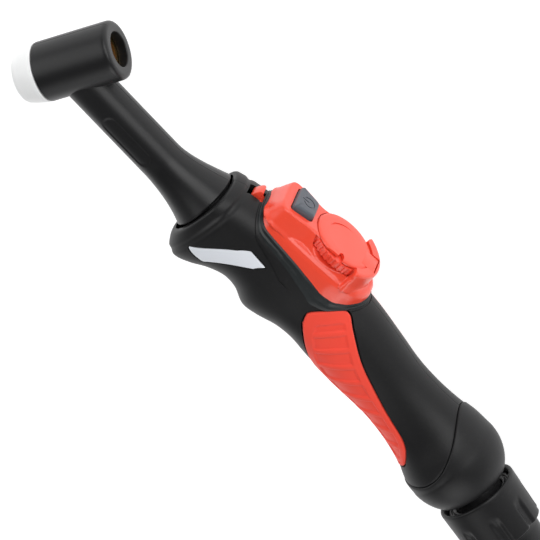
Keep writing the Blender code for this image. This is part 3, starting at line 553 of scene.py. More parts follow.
# Handle shells
# Two half shells of black glass-filled nylon with a fine matt mould texture, screwed together
# in the middle plane. The front ring has a rounded lip round the bell of the neck. Each shell has
# a sunk bed for its grip and its name plate, and together they carry the module.
HANDLE_FRONT = 70.4
PARTING_GAP = 0.08
BALL_CENTRE = (203.0, 0.85)
STATIONS = (
    (69.6, 15.7, -15.2, 14.5, 2.1), (74.0, 17.6, -21.0, 14.7, 2.1), (78.0, 18.6, -22.2, 14.9, 2.2),
    (83.0, 19.4, -19.7, 15.0, 2.4), (88.0, 20.0, -15.6, 15.2, 2.6), (94.0, 20.4, -12.5, 15.4, 2.7),
    (100.0, 20.7, -12.5, 15.6, 2.8), (107.0, 21.0, -15.3, 15.8, 2.8),
    (113.0, 21.2, -14.0, 15.8, 2.7), (120.0, 21.6, -11.0, 15.6, 2.5),
    (127.0, 22.0, -9.8, 15.5, 2.3), (135.0, 22.0, -10.3, 15.4, 2.1),
    (143.0, 21.5, -10.6, 15.0, 2.0), (155.0, 19.7, -10.4, 14.2, 2.0),
    (167.0, 17.8, -9.9, 13.7, 2.0), (178.0, 17.5, -10.9, 14.0, 2.0),
    (188.0, 18.2, -13.2, 15.3, 2.0), (196.0, 19.3, -16.6, 17.7, 2.0),
    (203.0, 19.7, -18.0, 18.85, 2.0))


def smooth_value(keys, column, x):
    """A smooth curve through the keys' values in one column."""
    if x <= keys[0][0]:
        return keys[0][column]
    if x >= keys[-1][0]:
        return keys[-1][column]
    index = max(i for i in range(len(keys) - 1) if keys[i][0] <= x)

    def slope(i):
        low = max(i - 1, 0)
        high = min(i + 1, len(keys) - 1)
        return (keys[high][column] - keys[low][column]) / (keys[high][0] - keys[low][0])

    a, b = keys[index], keys[index + 1]
    span = b[0] - a[0]
    t = (x - a[0]) / span
    rise = (2 * t ** 3 - 3 * t ** 2 + 1) * a[column] + (3 * t ** 2 - 2 * t ** 3) * b[column]
    lean = (t ** 3 - 2 * t ** 2 + t) * slope(index) + (t ** 3 - t ** 2) * slope(index + 1)
    return rise + lean * span


def skin_point(x, angle, inset, split=0.0):
    """A point on the handle: angle 90 is the module side, 0 the +Z side, -90 the belly."""
    top, bottom, half, square = (smooth_value(STATIONS, c, x) for c in (1, 2, 3, 4))
    widest = BALL_CENTRE[1] + (BALL_CENTRE[0] - x) * 0.035
    sine = math.sin(math.radians(angle))
    cosine = math.cos(math.radians(angle))
    power = 2.0 / (square if sine > 0.0 else 2.0)
    reach = (top - widest if sine > 0.0 else widest - bottom) - inset
    y = widest + math.copysign(reach * abs(sine) ** power, sine)
    z = split + (half - inset - split) * abs(cosine) ** power
    return (x, y, math.copysign(z, cosine) if abs(cosine) > 1e-9 else z)


def seam_x(angle):
    return 200.3 - 7.9 * (math.sin(math.radians(angle)) + 0.25) ** 2


def outline_block(name, outline, low, high, transform):
    """A flat outline raised between two heights, closed at both ends."""
    deselect()
    bpy.ops.mesh.primitive_cylinder_add(vertices=len(outline), end_fill_type="NGON")
    piece = bpy.context.object
    piece.name = name
    for vertex in piece.data.vertices:
        turn = math.atan2(vertex.co.x, vertex.co.y)
        index = round(turn / (2.0 * math.pi) * len(outline)) % len(outline)
        height = low if vertex.co.z < 0.0 else high
        vertex.co = transform @ (Vector((*outline[index], height)) * MM)
    tidy_mesh(piece)
    return piece


def inset_outline(outline, distance):
    """Each point moves along the mean normal of its two sides."""
    result = []
    count = len(outline)
    area = sum(outline[i][0] * outline[(i + 1) % count][1]
               - outline[(i + 1) % count][0] * outline[i][1] for i in range(count))
    turn = 1.0 if area > 0.0 else -1.0
    for i, point in enumerate(outline):
        before, here = Vector(outline[i - 1]), Vector(point)
        after = Vector(outline[(i + 1) % count])
        heading = ((here - before).normalized() + (after - here).normalized()).normalized()
        result.append(tuple(here + Vector((-heading.y, heading.x)) * turn * distance))
    return result


MODULE_FRONT, MODULE_REAR = -30.6, 20.8
BASE_HALF = (
    (MODULE_FRONT, 4.8), (MODULE_FRONT + 0.8, 8.1), (MODULE_FRONT + 2.3, 10.7),
    (MODULE_FRONT + 4.8, 12.4), (-19.0, 13.1), (-12.0, 13.7), (-4.0, 14.2), (5.0, 14.3),
    (11.0, 13.4), (15.8, 10.9), (19.0, 7.4), (MODULE_REAR, 3.0))


def both_sides(half):
    return list(half) + [(x, -y) for x, y in half[::-1]]


module_along = plane_direction(5.5)
module_up = plane_direction(95.5)
module_frame = frame_at(112.8, 28.4, module_along, -SIDE, module_up)
GRIP_EDGES = (
    (121.6, 7.0, 10.0), (126.0, -9.0, 29.0), (131.3, -28.0, 49.0), (137.0, -46.0, 39.0),
    (144.0, -62.0, 27.0), (151.0, -74.0, 17.0), (160.0, -79.0, 8.0), (173.0, -79.0, -5.0),
    (184.0, -76.0, -16.0), (190.5, -66.0, -40.0))
PLATE_CORNERS = ((76.5, -34.0), (84.3, -41.0), (99.0, 8.0), (91.0, 9.0))
DEGREE = 14.5 * math.pi / 180.0


def softened(outline, spacing=0.5, passes=8):
    """The outline with points at even steps and its corners rounded off."""
    points = []
    for i, point in enumerate(outline):
        here, after = Vector(point), Vector(outline[(i + 1) % len(outline)])
        steps = max(1, round((after - here).length / spacing))
        points += [here.lerp(after, step / steps) for step in range(steps)]
    for _ in range(passes):
        points = [(points[i - 1] + 2.0 * p + points[(i + 1) % len(points)]) / 4.0
                  for i, p in enumerate(points)]
    return [tuple(p) for p in points]


def grip_outline():
    """The grip rolled out flat: x, and the way round the handle."""
    first, last = GRIP_EDGES[0][0], GRIP_EDGES[-1][0]
    stations = [first + (last - first) * i / 60 for i in range(61)]
    low = [(x, smooth_value(GRIP_EDGES, 1, x) * DEGREE) for x in stations]
    high = [(x, smooth_value(GRIP_EDGES, 2, x) * DEGREE) for x in stations]
    return softened(low + high[::-1])


def plate_outline():
    return softened([(x, angle * DEGREE) for x, angle in PLATE_CORNERS], 0.25, 3)


def wrapped(name, outline, side, inset_of, step):
    """A flat plate cut to its outline and laid round the handle."""
    xs, ys = zip(*outline)
    columns = int((max(xs) - min(xs) + 2.0) / step)
    rows = int((max(ys) - min(ys) + 2.0) / step)
    flat = Matrix.Identity(4)
    plate = sheet(name, columns, rows, lambda u, v: (
        min(xs) - 1.0 + (max(xs) - min(xs) + 2.0) * u / columns,
        min(ys) - 1.0 + (max(ys) - min(ys) + 2.0) * v / rows, 0.0), flat)
    apply_modifier(plate, "SOLIDIFY", thickness=1.0 * MM, offset=-1.0)
    frame_cut = outline_block(name + "_cut", outline, -3.0, 3.0, flat)
    combine(plate, frame_cut, "INTERSECT", "MANIFOLD")
    top = max(vertex.co.z for vertex in plate.data.vertices)
    insets = inset_of([tuple(vertex.co / MM) for vertex in plate.data.vertices], top / MM)
    for vertex, inset in zip(plate.data.vertices, insets):
        x, way = vertex.co.x / MM, vertex.co.y / MM
        px, y, z = skin_point(x, way / DEGREE, inset)
        vertex.co = torch_frame @ (Vector((px, y, z * side)) * MM)
    tidy_mesh(plate)
    return plate


def between_depths(outer, inner):
    """An even thickness: the flat plate's top goes to one depth and its bottom to the other."""
    return lambda points, top: [outer if z > top - 0.5 else inner for _, _, z in points]


def envelope(name, proud, last=182.0, columns=150, rows=60):
    """The handle's whole outer form, grown by a distance, closed at both ends."""
    first = STATIONS[0][0] - 6.0

    def spot(u, v):
        x = first + (last - first) * min(max((u - 1) / (columns - 2), 0.0), 1.0)
        if u in (0, columns):
            return (x, 2.0, 0.0)
        return skin_point(x, -90.0 + 360.0 * v / (2 * rows), -proud)
    return sheet(name, columns, 2 * rows, spot)


LIP = 0.9
RING_END = 75.4


def handle_half(name, side, columns=260, rows=72):
    """A closed half shell: outside, inside and the narrow faces that join them."""
    ring = 2 * (rows + 1)
    wall = 2.2
    lip_steps = 6

    def spot(u, v):
        v %= ring
        outside = v <= rows
        angle = -90.0 + 180.0 * (v if outside else ring - 1 - v) / rows
        end = seam_x(angle) - 0.25
        inset = 0.0
        if u <= lip_steps + 1:
            bend = math.radians(90.0 * max(u - 1, 0) / lip_steps)
            x = HANDLE_FRONT + LIP * (1.0 - math.cos(bend))
            inset = LIP * (1.0 - math.sin(bend))
        else:
            share = min((u - lip_steps - 1) / (columns - lip_steps - 2), 1.0)
            x = HANDLE_FRONT + LIP + (end - HANDLE_FRONT - LIP) * share
            if share > 0.997:
                inset = 0.2
        valley = max(0.0, 1.0 - abs(x - RING_END) / 1.9)
        inset += 0.55 * valley * valley * (3.0 - 2.0 * valley)
        if u in (0, columns):
            inset = 1.2
        elif not outside:
            inset = wall
        x, y, z = skin_point(x, angle, inset, PARTING_GAP)
        return (x, y, z * side)
    return sheet(name, columns, ring, spot)


def box_block(name, low, high, transform=torch_frame):
    outline = [(low[0], low[1]), (high[0], low[1]), (high[0], high[1]), (low[0], high[1])]
    return outline_block(name, outline, low[2], high[2], transform)


def round_block(name, radius, low, high, place, transform=torch_frame, sides=48):
    outline = [(place[0] + radius * math.cos(2.0 * math.pi * i / sides),
                place[1] + radius * math.sin(2.0 * math.pi * i / sides)) for i in range(sides)]
    return outline_block(name, outline, low, high, transform)


SCREW_PLACES = ((78.0, -15.2), (150.0, 12.5), (176.0, -3.2))
base_outline = softened(both_sides(BASE_HALF), 0.7, 5)
handle_black = moulded("handle_black", (0.008, 0.008, 0.0085), 0.46, grain=1900.0, depth=0.035,
                       rub=0.35, rub_tone=2.0, dust=0.04, tone=0.10, specular=0.3)
for side, word in ((1.0, "right"), (-1.0, "left")):
    half = handle_half("handle_half_" + word, side)
    if side < 0.0:
        for n, place in enumerate(SCREW_PLACES, 1):
            limit = envelope("post_limit", -1.0, columns=80, rows=24)
            post = round_block(f"post_{n}", 4.4, -19.0, -0.4, place)
            combine(post, limit, "INTERSECT", "MANIFOLD")
            join(half, post)
            cut(half, round_block(f"screw_way_{n}", 3.1, -25.0, -5.0, place))
            cut(half, round_block(f"shank_way_{n}", 1.8, -6.0, 1.0, place))
    cut(half, outline_block("opening", inset_outline(base_outline, 3.6), -19.0, 3.0,
                            module_frame))
    cut(half, box_block("latch_slot", (75.8, 14.0, -3.2), (90.6, 24.0, 3.2)))
    groove = outline_block("rim_groove", inset_outline(base_outline, -1.75), -19.0, 6.0,
                           module_frame)
    cut(groove, outline_block("rim_inside", inset_outline(base_outline, -1.35), -21.0, 8.0,
                              module_frame))
    cut(groove, envelope("rim_floor", -0.3))
    cut(half, groove)
    cut(half, wrapped("grip_bed", inset_outline(grip_outline(), -0.55), side,
                      between_depths(-2.0, 1.5), 0.8))
    cut(half, wrapped("plate_bed", inset_outline(plate_outline(), -0.35), side,
                      between_depths(-2.0, 0.65), 0.8))
    finish_piece(half, handle_black, "handle_black", "handset", "handle_shell_" + word)


# Name plates
# A thin white printed plate, let flush into its bed on each side behind the front ring. It
# is plain, with no print.
def way_to(points, line, closed=False):
    """How far each point is from a line of points, in the flat."""
    spots = np.array([point[:2] for point in points])
    ends = list(line) + ([line[0]] if closed else [])
    nearest = np.full(len(spots), 1e9)
    for first, second in zip(ends, ends[1:]):
        start, run = np.array(first), np.array(second) - np.array(first)
        length = max(float(run @ run), 1e-12)
        share = np.clip((spots - start) @ run / length, 0.0, 1.0)
        gap = spots - start - share[:, None] * run
        nearest = np.minimum(nearest, np.hypot(gap[:, 0], gap[:, 1]))
    return nearest


def plate_insets(points, top):
    """A flush top with a slightly rolled edge and a flat back."""
    ways = way_to(points, plate_outline(), True)
    return [(-0.12 + 0.18 * (1.0 - between(way, 0.0, 0.3))) if point[2] > top - 0.5 else 0.42
            for point, way in zip(points, ways)]


plate_white = moulded("plate_white", (0.80, 0.83, 0.88), 0.30, grain=700.0, depth=0.003,
                      rub=0.2, rub_tone=0.9, dust=0.06, tone=0.02, specular=0.5, coat=0.3)
for side, word in ((1.0, "right"), (-1.0, "left")):
    plate = wrapped("name_plate_face_" + word, plate_outline(), side, plate_insets, 0.22)
    finish_piece(plate, plate_white, "plate_white", "handset", "name_plate_" + word)


# Side grips
# Soft red rubber pads pressed into the shells, one on each side of the waist. A smooth border
# frames a row of shallow cells, and slanting ribs between the cells stop the hand from slipping.
GRIP_PROUD = 0.4
GRIP_BACK = 1.15
EDGE_ROUND = 0.75
CELL_DEPTH = 0.6
LOWER_BORDER, UPPER_BORDER, END_BORDER = 3.9, 2.4, 4.4
RIB_PITCH = 6.8
RIB_HALF = 0.7
FIRST_RIB = 101.7


def grip_insets(points, top):
    """A domed edge, a smooth border, and cells that are sunk between slanting ribs."""
    first, last = GRIP_EDGES[0][0], GRIP_EDGES[-1][0]
    stations = [first + (last - first) * i / 90 for i in range(91)]
    low = [(x, smooth_value(GRIP_EDGES, 1, x) * DEGREE) for x in stations]
    high = [(x, smooth_value(GRIP_EDGES, 2, x) * DEGREE) for x in stations]
    crest = GRIP_EDGES[2][0]
    rim = way_to(points, grip_outline(), True)
    lower = way_to(points, low)
    upper = way_to(points, [p for p in high if p[0] >= crest])
    end = way_to(points, [p for p in high if p[0] <= crest])
    result = []
    for i, (x, way, z) in enumerate(points):
        if z < top - 0.5:
            result.append(GRIP_BACK)
            continue
        inset = -GRIP_PROUD
        if rim[i] < EDGE_ROUND:
            inset += EDGE_ROUND - math.sqrt(EDGE_ROUND ** 2 - (EDGE_ROUND - rim[i]) ** 2)
        room = min(lower[i] - LOWER_BORDER, upper[i] - UPPER_BORDER, end[i] - END_BORDER)
        spot = skin_point(x, way / DEGREE, 0.0)
        slant = (0.8 * spot[0] - 0.6 * spot[1] - FIRST_RIB) / RIB_PITCH
        off_rib = abs(slant - round(slant)) * RIB_PITCH - RIB_HALF
        inset += CELL_DEPTH * between(min(room, off_rib), -0.05, 0.55)
        if rim[i] > 1.0:
            inset -= 0.05 * between(room, -0.9, -0.3) * (1.0 - between(room, -0.3, 0.0))
        result.append(inset)
    return result


grip_red = moulded("grip_red", (0.90, 0.062, 0.033), 0.62, grain=1500.0, depth=0.02,
                   rub=0.25, rub_tone=1.25, dust=0.07, tone=0.05, specular=0.35, sheen=0.12)
for side, word in ((1.0, "right"), (-1.0, "left")):
    grip = wrapped("grip_pad_" + word, grip_outline(), side, grip_insets, 0.32)
    finish_piece(grip, grip_red, "grip_red", "handset", "grip_insert_" + word, angle=50.0)


# Handle screws
# Three plated cross-head screws, sunk into posts of the left shell, hold the shells together.
for n, (x, y) in enumerate(SCREW_PLACES, 1):
    seat = -5.3
    screw = turned_piece(f"shell_screw_{n}", rounded([
        (0.0, 6.0, 0.0), (0.6, 6.0, 0.1), (1.5, 4.5, 0.1), (1.5, seat, 0.1), (2.85, seat, 0.3),
        (2.85, seat - 1.2, 0.8), (0.0, seat - 2.0, 0.0)], 0.1, 5), 48,
        torch_frame @ Matrix.Translation((x * MM, y * MM, 0.0)))
    for low, high in (((-1.7, -0.32), (1.7, 0.32)), ((-0.32, -1.7), (0.32, 1.7))):
        cut(screw, box_block("cross", (x + low[0], y + low[1], seat - 3.0),
                             (x + high[0], y + high[1], seat - 0.9)))
    finish_piece(screw, steel, "steel", "handset", f"handle_screw_{n}")


# Rear cover
# A black nylon shell that slips over a tongue at the end of the handle, swells a little over its
# seam and closes to the round mouth in which the ball of the cable turns.
COVER_RADIUS = 18.85
COVER_WALL = 1.9
COVER_STEP = 0.4
OPENING_RADIUS = 13.7
TAIL_TILT = -9.0
COVER_SIDES = 240


def dome(radius, polar, angle, last_polar):
    share = (90.0 - polar) / (90.0 - last_polar)
    along = plane_direction(TAIL_TILT * share)
    across = plane_direction(TAIL_TILT * share + 90.0)
    turn, bend = math.radians(angle), math.radians(polar)
    ring = across * math.sin(turn) + SIDE * math.cos(turn)
    return Vector((*BALL_CENTRE, 0.0)) + (along * math.cos(bend) + ring * math.sin(bend)) * radius


def cover_loop(angle):
    """The cover's section at one angle: outside from the seam to the mouth, then back."""
    seam = seam_x(angle)
    run = BALL_CENTRE[0] - seam
    inner = COVER_RADIUS - COVER_WALL
    mouth_out = math.degrees(math.asin(OPENING_RADIUS / COVER_RADIUS))
    mouth_in = math.degrees(math.asin(OPENING_RADIUS / inner))
    loop = [skin_point(seam - 4.5, angle, 2.85), skin_point(seam - 0.2, angle, 2.85),
            skin_point(seam, angle, 2.6), skin_point(seam, angle, 0.4)]
    for bend in (0, 20, 40, 60, 80, 90):
        lean = math.radians(bend)
        loop.append(skin_point(seam + 0.5 * (1.0 - math.cos(lean)), angle,
                               -COVER_STEP + 0.5 * (1.0 - math.sin(lean))))
    for step in range(1, 21):
        share = step / 20
        loop.append(skin_point(seam + 0.5 + (run - 0.5) * share, angle,
                               -COVER_STEP * (1.0 - between(share, 0.0, 1.0))))
    loop += [dome(COVER_RADIUS, 90.0 + (mouth_out + 1.6 - 90.0) * step / 16, angle, mouth_out)
             for step in range(1, 17)]
    loop += [dome(COVER_RADIUS - 0.25, mouth_out + 0.3, angle, mouth_out),
             dome(inner + 0.4, mouth_in - 1.4, angle, mouth_in),
             dome(inner, mouth_in + 0.2, angle, mouth_in)]
    loop += [dome(inner, mouth_in + (90.0 - mouth_in) * step / 6, angle, mouth_in)
             for step in range(1, 6)]
    loop += [skin_point(seam + 1.5 + (run - 1.5) * share, angle, COVER_WALL)
             for share in (1.0, 0.5, 0.1)]
    loop += [skin_point(seam + 1.2, angle, 4.2), skin_point(seam - 4.5, angle, 4.2)]
    return loop


cover_size = len(cover_loop(0.0))
cover_rings = [cover_loop(-90.0 + 360.0 * i / COVER_SIDES) for i in range(COVER_SIDES)]
cover = sheet("rear_cover_shell", cover_size, COVER_SIDES,
              lambda u, v: cover_rings[v % COVER_SIDES][u % cover_size])
finish_piece(cover, handle_black, "handle_black", "handset", "rear_cover", angle=40.0)


# Module gasket
# A dark grey rubber seal between the handle and the control module, with a lip at its foot, so
# that it shows as a double line all round the module.
def block_between(name, outline, low, high):
    """A prism through the module's seat, kept only between two depths over the handle."""
    block = outline_block(name, outline, -19.0, 4.0, module_frame)
    combine(block, envelope(name + "_top", high), "INTERSECT", "MANIFOLD")
    cut(block, envelope(name + "_foot", low))
    return block


seal = block_between("module_seal", inset_outline(base_outline, -0.3), 0.08, 1.15)
foot = block_between("seal_lip", inset_outline(base_outline, -0.8), 0.08, 0.5)
join(seal, foot)
hollow = outline_block("seal_hollow", inset_outline(base_outline, 1.6), -20.0, 6.0, module_frame)
cut(seal, hollow)
seal_grey = moulded("seal_grey", (0.015, 0.018, 0.019), 0.40, grain=1100.0, depth=0.01,
                    rub=0.3, rub_tone=1.8, dust=0.08, tone=0.08, specular=0.35)
finish_piece(seal, seal_grey, "seal_grey", "handset", "module_gasket")


# Control module housing
# A glossy red moulding in tough plastic: a flange that follows the handle, a raised deck with
# the push button, open scoops at the sides where a finger reaches the wheel, and a block behind
# the wheel. Its edges are all softly rounded.
BUTTON_FRONT, BUTTON_REAR = -23.6, -14.6
BUTTON_FRONT_HALF, BUTTON_REAR_HALF = 7.4, 5.2
CAP_RADIUS = 12.4
WHEEL_RADIUS = 13.4
DECK_TOP = 2.2
ARC_TOP = 3.2
ROOF_LOW = -3.6


def stepped_block(name, outline, levels, transform):
    """An outline raised through several heights, each with its own inset."""
    count = len(outline)
    rings = [[(x, y, z) for x, y in (inset_outline(outline, inset) if inset else outline)]
             for z, inset in levels]
    middle = (0.0, 0.0)

    def spot(u, v):
        if u == 0:
            return (*middle, rings[0][0][2])
        if u == len(rings) + 1:
            return (*middle, rings[-1][0][2])
        return rings[u - 1][v % count]
    return sheet(name, len(rings) + 1, count, spot, transform)


def quad(front, front_half, rear, rear_half):
    return [(front, -front_half), (rear, -rear_half), (rear, rear_half), (front, front_half)]


skirt = [(-15.0, 0.15), (-8.6, 0.15), (-6.6, 0.35), (-5.2, 0.9), (-4.3, 1.7), (-3.95, 2.5),
         (-4.05, 3.3), (-4.4, 4.4)]
housing = stepped_block("module_housing_shell", base_outline, skirt, module_frame)
deck_half = [(BUTTON_FRONT - 3.9, 6.6), (BUTTON_FRONT - 3.2, 9.3), (BUTTON_FRONT - 1.4, 10.5),
             (-18.0, 9.7), (-12.0, 8.7), (-9.0, 9.2), (-5.0, 10.3), (9.0, 10.3)]
deck_outline = softened(both_sides(deck_half), 0.6, 6)
deck = stepped_block("deck_form", deck_outline,
                     [(-5.6, -2.9), (-3.9, -1.9), (-1.0, -0.9), (1.4, 0.0), (2.0, 0.35),
                      (DECK_TOP, 0.9)], module_frame)
arc_half = [(7.5, 8.0)]
arc_half += [(16.6 * math.cos(math.radians(a)), 16.6 * math.sin(math.radians(a)))
             for a in range(58, -1, -6)]
arc = stepped_block("arc_form", softened(both_sides(arc_half), 0.6, 3),
                    [(-6.0, -0.9), (-3.0, -0.3), (2.3, 0.0), (2.9, 0.3), (ARC_TOP, 0.8)],
                    module_frame)
join(housing, deck)
join(housing, arc)
for side in (-1.0, 1.0):
    deselect()
    bpy.ops.mesh.primitive_uv_sphere_add(segments=64, ring_count=32, radius=1.0)
    scoop = bpy.context.object
    spread = Matrix.Diagonal((12.0 * MM, 5.4 * MM, 4.1 * MM, 1.0))
    scoop.data.transform(module_frame @ Matrix.Translation((-2.6 * MM, side * 14.6 * MM, 0.0))
                         @ spread)
    tidy_mesh(scoop, 0.0001)
    cut(housing, scoop)
apply_modifier(housing, "REMESH", mode="VOXEL", voxel_size=0.3 * MM)
apply_modifier(housing, "SMOOTH", factor=0.5, iterations=4)
cut(housing, envelope("module_seat", 1.2))
cavity = outline_block("module_cavity", inset_outline(base_outline, 3.0), -20.0, -7.6,
                       module_frame)
cut(housing, cavity)
cut(housing, round_block("meter_way", 8.2, -9.0, ROOF_LOW, (0.0, 0.0), module_frame, 80))
cut(housing, box_block("switch_way", (-24.6, -6.8, -9.0), (-14.3, 6.8, -3.0), module_frame))
bay = outline_block("button_bay", quad(BUTTON_FRONT - 1.3, 8.7, BUTTON_REAR + 0.3, 7.0),
                    ROOF_LOW - 1.0, DECK_TOP - 1.6, module_frame)
cut(housing, bay)
button_way = outline_block("button_way", softened(
    quad(BUTTON_FRONT - 0.35, BUTTON_FRONT_HALF + 0.35, BUTTON_REAR + 0.35,
         BUTTON_REAR_HALF + 0.35), 0.4, 14), -2.0, 6.0, module_frame)
cut(housing, button_way)
for name, radius, low, high in (("wheel_way", 13.85, -1.8, 1.7), ("cap_way", 12.7, -1.3, 6.0),
                                ("spindle_way", 3.4, ROOF_LOW - 1.0, 0.0)):
    cut(housing, round_block(name, radius, low, high, (0.0, 0.0), module_frame, 160))
cut(housing, box_block("lug_way", (10.0, -4.8, 1.55), (15.2, 4.8, 6.0), module_frame))
module_red = moulded("module_red", (0.87, 0.070, 0.034), 0.30, grain=1300.0, depth=0.004,
                     rub=0.25, rub_tone=1.2, dust=0.05, tone=0.04, specular=0.5, coat=0.15)
finish_piece(housing, module_red, "module_red", "handset", "module_housing", angle=40.0)


# Module latch
# A red spring tongue that reaches under the front of the module. Its upturned hook snaps into
# the slot of the handle and is pressed back with a finger to free the module.
latch_outline = softened([
    (77.6, 17.2), (90.0, 17.2), (90.0, 18.4), (81.4, 18.4), (80.7, 19.0), (80.4, 21.2),
    (79.8, 21.95), (79.0, 21.8), (78.1, 20.2), (77.5, 18.2)], 0.35, 2)
latch = outline_block("latch_tongue", latch_outline, -2.6, 2.6, torch_frame)
apply_modifier(latch, "BEVEL", width=0.28 * MM, segments=3, limit_method="ANGLE",
               angle_limit=math.radians(50.0))
finish_piece(latch, module_red, "module_red", "handset", "module_latch", angle=40.0)


# Push button
# A slate grey rubber-coated key that starts the arc. Its top is flat with soft edges and has a
# sunk, general sign for on and off. A flange keeps it in its bay and a stem works the switch.
BUTTON_TOP = 4.6
button_outline = softened(quad(BUTTON_FRONT, BUTTON_FRONT_HALF, BUTTON_REAR, BUTTON_REAR_HALF),
                          0.4, 14)
middle = (BUTTON_FRONT + BUTTON_REAR) / 2.0 - 0.3
button_frame = module_frame @ Matrix.Translation((middle * MM, 0.0, 0.0))
near_middle = [(x - middle, y) for x, y in button_outline]
button = stepped_block("push_button_key", near_middle, [
    (-0.9, 0.0), (3.0, 0.03), (3.6, 0.12), (4.05, 0.3), (4.35, 0.55), (4.52, 0.82),
    (BUTTON_TOP, 1.1)], button_frame)
flange = outline_block("button_flange", quad(BUTTON_FRONT - 0.9, BUTTON_FRONT_HALF + 0.9,
                                             BUTTON_REAR - 0.6, BUTTON_REAR_HALF + 1.3),
                       -1.0, 0.25, module_frame)
join(button, flange)
join(button, round_block("button_stem", 1.9, -3.0, 0.0, (-19.1, 0.0), module_frame))
SIGN_RADIUS, SIGN_WIDTH, SIGN_FLOOR, SIGN_PLACE = 2.35, 0.52, 4.3, (-18.9, 0.0)
sign = round_block("sign_ring", SIGN_RADIUS + SIGN_WIDTH / 2, SIGN_FLOOR, 6.0, SIGN_PLACE,
                   module_frame, 64)
cut(sign, round_block("sign_core", SIGN_RADIUS - SIGN_WIDTH / 2, 3.0, 7.0, SIGN_PLACE,
                      module_frame, 64))
cut(sign, box_block("sign_opening", (-22.5, -1.15, 3.0), (-19.2, 1.15, 7.0), module_frame))
cut(button, sign)
cut(button, box_block("sign_bar", (-22.0, -SIGN_WIDTH / 2, SIGN_FLOOR),
                      (-19.0, SIGN_WIDTH / 2, 6.0), module_frame))
button_grey = moulded("button_grey", (0.088, 0.100, 0.118), 0.48, grain=1500.0, depth=0.008,
                      rub=0.3, rub_tone=1.5, dust=0.08, tone=0.06, specular=0.4, sheen=0.05)
finish_piece(button, button_grey, "button_grey", "button", "push_button", angle=35.0)


# Adjusting wheel
# A red thumb wheel with a fine ribbed rim, pressed on the steel spindle of the potentiometer. It
# shows at both sides under the cap.
WHEEL_RIBS = 40
RIB_HEIGHT = 0.62


def ribbed(radius, height, angle):
    if radius < 11.0:
        return radius
    phase = (angle * WHEEL_RIBS / (2.0 * math.pi)) % 1.0
    rib = 1.0 - between(abs(phase - 0.5), 0.17, 0.31)
    return radius - RIB_HEIGHT * (1.0 - rib)


wheel = turned_piece("thumb_wheel", rounded([
    (WHEEL_RADIUS, -1.5, 0.35), (WHEEL_RADIUS, 1.5, 0.35), (3.3, 1.5, 0.1), (3.3, -1.5, 0.1)],
    0.2, 4), WHEEL_RIBS * 14, module_frame, ribbed)
wheel_red = moulded("wheel_red", (0.84, 0.058, 0.028), 0.34, grain=1300.0, depth=0.004, rub=0.3,
                    rub_tone=1.25, dust=0.08, tone=0.04, specular=0.5, coat=0.1)
finish_piece(wheel, wheel_red, "module_red", "wheel", "adjust_wheel", angle=40.0)
paint_node("wheel_spindle", steel)


# Wheel cap
# A fixed red disc over the wheel, held by a lug in the rear block and a pin in the spindle. Its
# middle is dished for the thumb, and a nick in its edge shows the wheel's mark.
cap = turned_piece("wheel_cap_disc", [
    (0.0, 3.02), (3.0, 3.02), (6.0, 3.0), (9.0, 2.95), (11.0, 2.87), (11.7, 2.78), (12.1, 2.6),
    (12.33, 2.35), (CAP_RADIUS, 2.1), (CAP_RADIUS, 1.9), (12.3, 1.8), (1.2, 1.8), (1.2, -0.9),
    (0.0, -0.9)], 200, module_frame)
lug = box_block("cap_lug", (9.0, -4.5, 1.8), (14.9, 4.5, 2.95), module_frame)
apply_modifier(lug, "BEVEL", width=0.25 * MM, segments=3)
join(cap, lug)
dish_frame = (module_frame @ Matrix.Translation((-7.7 * MM, 0.0, 2.55 * MM))
              @ Matrix.Rotation(math.radians(-2.6), 4, "Y"))
dish = round_block("cap_dish", 7.7, 0.0, 3.0, (7.7, 0.0), dish_frame, 120)
cut(cap, dish)
cut(cap, box_block("cap_flat", (-14.0, -16.0, 0.0), (0.9, -11.3, 6.0), module_frame))
nick = softened([(-0.3, -14.0), (2.4, -14.0), (2.1, -9.6), (1.1, -8.5), (0.0, -9.6)], 0.3, 2)
cut(cap, outline_block("cap_nick", nick, 0.0, 6.0, module_frame))
finish_piece(cap, module_red, "module_red", "handset", "wheel_cap", angle=30.0)


# Inside the module and the handle
# The potentiometer and the tact switch sit on a small green circuit board on two screws, and a
# white plug joins its wires to the cable. Covered pieces keep their CAD form.
board_green = moulded("board_green", (0.020, 0.150, 0.055), 0.35, grain=800.0, depth=0.01,
                      rub=0.2, rub_tone=1.6, dust=0.05, tone=0.25, coat=0.3)
switch_black = moulded("switch_black", (0.020, 0.020, 0.021), 0.45, grain=1200.0, depth=0.01)
connector_white = moulded("connector_white", (0.78, 0.77, 0.72), 0.5, grain=1200.0, depth=0.01,
                          rub_tone=0.9, tone=0.05)
paint_node("circuit_board", board_green)
paint_node("tact_switch", switch_black)
paint_node("wire_connector", connector_white)
for name in ("potentiometer", "board_screw_1", "board_screw_2"):
    paint_node(name, steel)


# Ball and its seat
# The cable leaves through a hollow ball of dark hard plastic, which turns and tilts in a grey
# seat ring inside the rear cover.
BALL_RADIUS = 14.2
BALL_NECK = 9.5
MOUTH = 14.9
tail_frame = turned_frame(*BALL_CENTRE, TAIL_TILT)


def arc_steps(radius, start, end, count):
    turns = [math.radians(start + (end - start) * i / count) for i in range(count + 1)]
    return [(radius * math.cos(a), radius * math.sin(a)) for a in turns]


